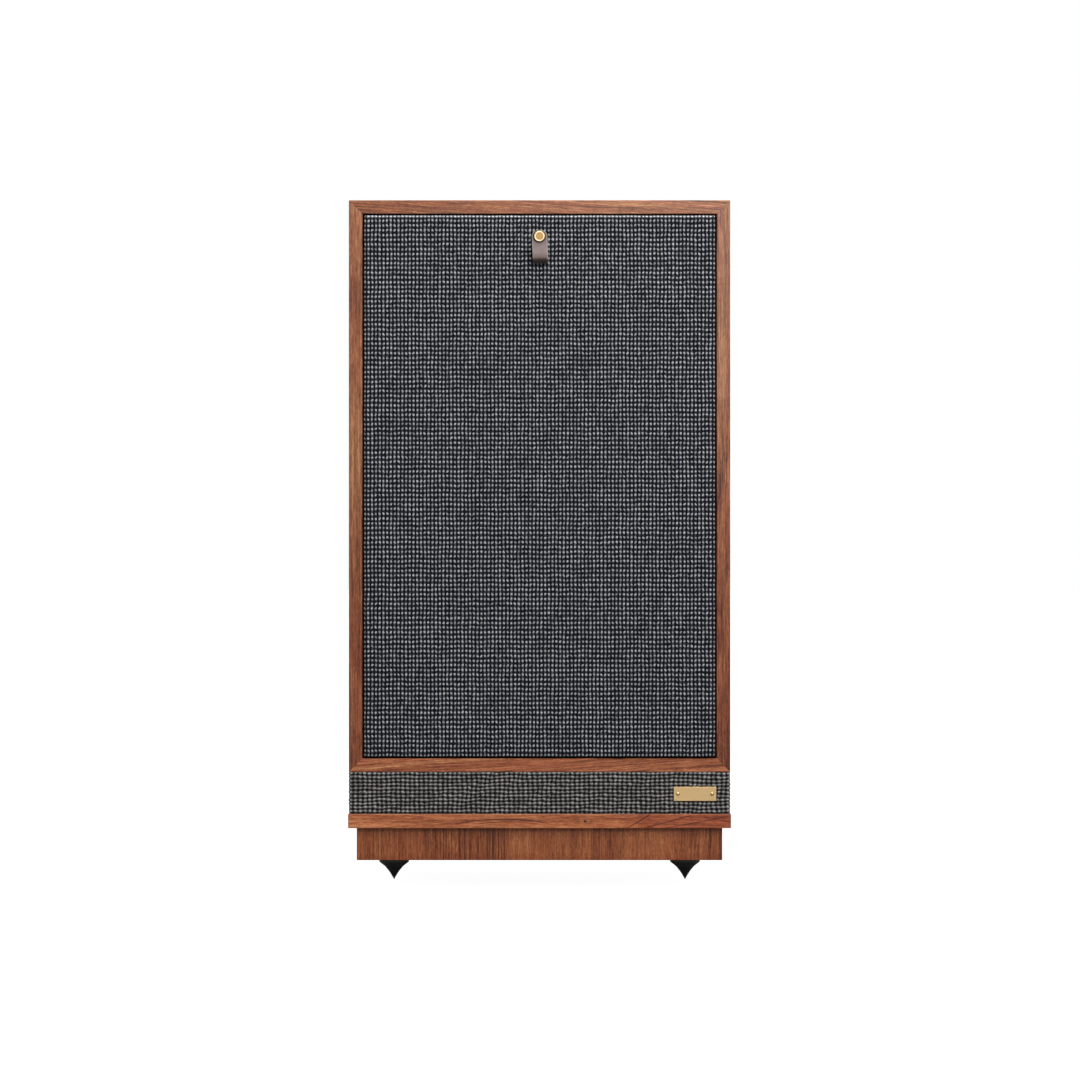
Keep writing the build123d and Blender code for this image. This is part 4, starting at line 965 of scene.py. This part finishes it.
paint_cad(["red_post_knob"], moulded("knob_red_mat", (0.42, 0.012, 0.012), rough=0.22, grain=0.08, coat=0.5))
paint_cad(["crossover_board"], moulded("board_mat", (0.035, 0.11, 0.055), rough=0.4, grain=0.4))
paint_cad(["crossover_inductors"], metal("winding_mat", (0.80, 0.36, 0.19), rough=0.32, brushed="x"))
paint_cad(["crossover_capacitors"], moulded("capacitor_mat", (0.05, 0.10, 0.34), rough=0.28, grain=0.1, coat=0.3))
paint_cad(["crossover_resistors"], moulded("resistor_mat", (0.72, 0.71, 0.67), rough=0.8, grain=0.8))
paint_cad(["internal_wiring"], moulded("wire_mat", (0.045, 0.045, 0.048), rough=0.4, grain=0.15))


def cone_mat():
    m = Mat("cone_pulp")
    x, y, z, co = m.co()
    n1 = m.noise(co, 520.0, 5.0, 0.72, distort=0.6)
    n2 = m.noise(co, 60.0, 3.0)
    c = m.ramp(m.math("ADD", m.math("MULTIPLY", n1, 0.75), m.math("MULTIPLY", n2, 0.25)), [(0.32, (0.014, 0.014, 0.015)), (0.6, (0.034, 0.034, 0.036)), (0.8, (0.085, 0.083, 0.080))])
    m.set(color=c, rough=0.82, spec=0.25, normal=m.bump(n1, 0.7, 0.0004))
    return m.m


paint_cad(["woofer_cone"], cone_mat())

# ---------------------------------------------------------------- floor, light, camera
fv, ff = [], []
R, ring_n, seg = 30.0, 14, 96
fv.append((0, 0, 0))
for i in range(1, ring_n + 1):
    rr = R * (i / ring_n) ** 2.2
    for k in range(seg):
        a = 2 * math.pi * k / seg
        fv.append((rr * math.cos(a), rr * math.sin(a), 0.0))
for k in range(seg):
    ff.append((0, 1 + k, 1 + (k + 1) % seg))
for i in range(1, ring_n):
    for k in range(seg):
        a0, a1 = 1 + (i - 1) * seg + k, 1 + (i - 1) * seg + (k + 1) % seg
        ff.append((a0, a0 + seg, a1 + seg, a1))
floor = mesh_object("floor", [(x, y, z - 0.0105) for x, y, z in fv], ff, smooth=False)      # clear of the spikes when they are let down
fm = Mat("pale_floor", color=(0.24, 0.24, 0.235), rough=0.95, spec=0.0)
glow = fm.node("ShaderNodeEmission")
glow.inputs[0].default_value = (1.0, 1.0, 1.0, 1.0)
glow.inputs[1].default_value = 0.972
both = fm.node("ShaderNodeAddShader")
fm.t.links.new(fm.b.outputs[0], both.inputs[0])
fm.t.links.new(glow.outputs[0], both.inputs[1])
choose = fm.node("ShaderNodeMixShader")
fm.t.links.new(fm.node("ShaderNodeLightPath").outputs["Is Camera Ray"], choose.inputs[0])
fm.t.links.new(fm.b.outputs[0], choose.inputs[1])
fm.t.links.new(both.outputs[0], choose.inputs[2])
fm.t.links.new(choose.outputs[0], [n for n in fm.t.nodes if n.type == "OUTPUT_MATERIAL"][0].inputs["Surface"])
paint(floor, fm.m)

world = bpy.data.worlds.new("studio")
scene.world = world
world.use_nodes = True
wt = world.node_tree
wt.nodes.clear()
wo = wt.nodes.new("ShaderNodeOutputWorld")
lit_bg = wt.nodes.new("ShaderNodeBackground")
seen_bg = wt.nodes.new("ShaderNodeBackground")
pick = wt.nodes.new("ShaderNodeMixShader")
path = wt.nodes.new("ShaderNodeLightPath")
lit_bg.inputs[0].default_value = (0.97, 0.98, 1.0, 1.0)
lit_bg.inputs[1].default_value = 0.33
seen_bg.inputs[0].default_value = (1.0, 1.0, 1.0, 1.0)
seen_bg.inputs[1].default_value = 1.0
wt.links.new(path.outputs["Is Camera Ray"], pick.inputs[0])
wt.links.new(lit_bg.outputs[0], pick.inputs[1])
wt.links.new(seen_bg.outputs[0], pick.inputs[2])
wt.links.new(pick.outputs[0], wo.inputs["Surface"])


def area(name, loc, target, size, power, color=(1, 1, 1)):
    l = bpy.data.lights.new(name, "AREA")
    l.shape = "RECTANGLE"
    l.size, l.size_y = size
    l.energy = power
    l.color = color
    o = bpy.data.objects.new(name, l)
    scene.collection.objects.link(o)
    o.location = loc
    o.visible_camera = False
    o.rotation_euler = (Vector(target) - Vector(loc)).to_track_quat("-Z", "Y").to_euler()
    return o


area("key", (0.95, -2.9, 1.50), (0.05, -0.2, 0.72), (2.1, 1.05), 38.0, (1.0, 0.99, 0.97))
area("top", (0.1, -0.75, 2.3), (0.0, -0.15, 0.7), (1.6, 0.9), 13.0, (1.0, 0.985, 0.96))
area("accent", (1.15, -1.9, 2.15), (0.0, -0.2, 0.55), (0.35, 0.35), 17.0, (1.0, 0.98, 0.94))
area("fill_left", (-2.4, -1.6, 1.3), (0.0, 0.0, 0.45), (1.4, 1.6), 5.0, (0.97, 0.985, 1.0))
area("back_left", (-1.9, 2.4, 0.80), (0.0, 0.1, 0.48), (1.7, 1.0), 17.0)
area("back_right", (2.3, 2.0, 0.75), (0.0, 0.1, 0.48), (1.7, 1.0), 17.0)
down = bpy.data.lights.new("down", "SUN")
down.energy = 0.9
down.angle = math.radians(50)
do = bpy.data.objects.new("down", down)
scene.collection.objects.link(do)
do.location = (0, 0, 3)

cam = bpy.data.cameras.new("camera")
cam.sensor_width = 36.0
FRONT_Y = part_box("left_side_panel")[0].y
DIST = 5.0
PX = 1.2583e-3                       # metres to a pixel of the 1080 frame at the front face
cam.lens = 36.0 * DIST / (1080 * PX)
cam.clip_end = 100.0
co = bpy.data.objects.new("camera", cam)
scene.collection.objects.link(co)
co.location = (0.0006, FRONT_Y - DIST, 0.4312)
co.rotation_euler = (math.pi / 2, 0, 0)
scene.camera = co
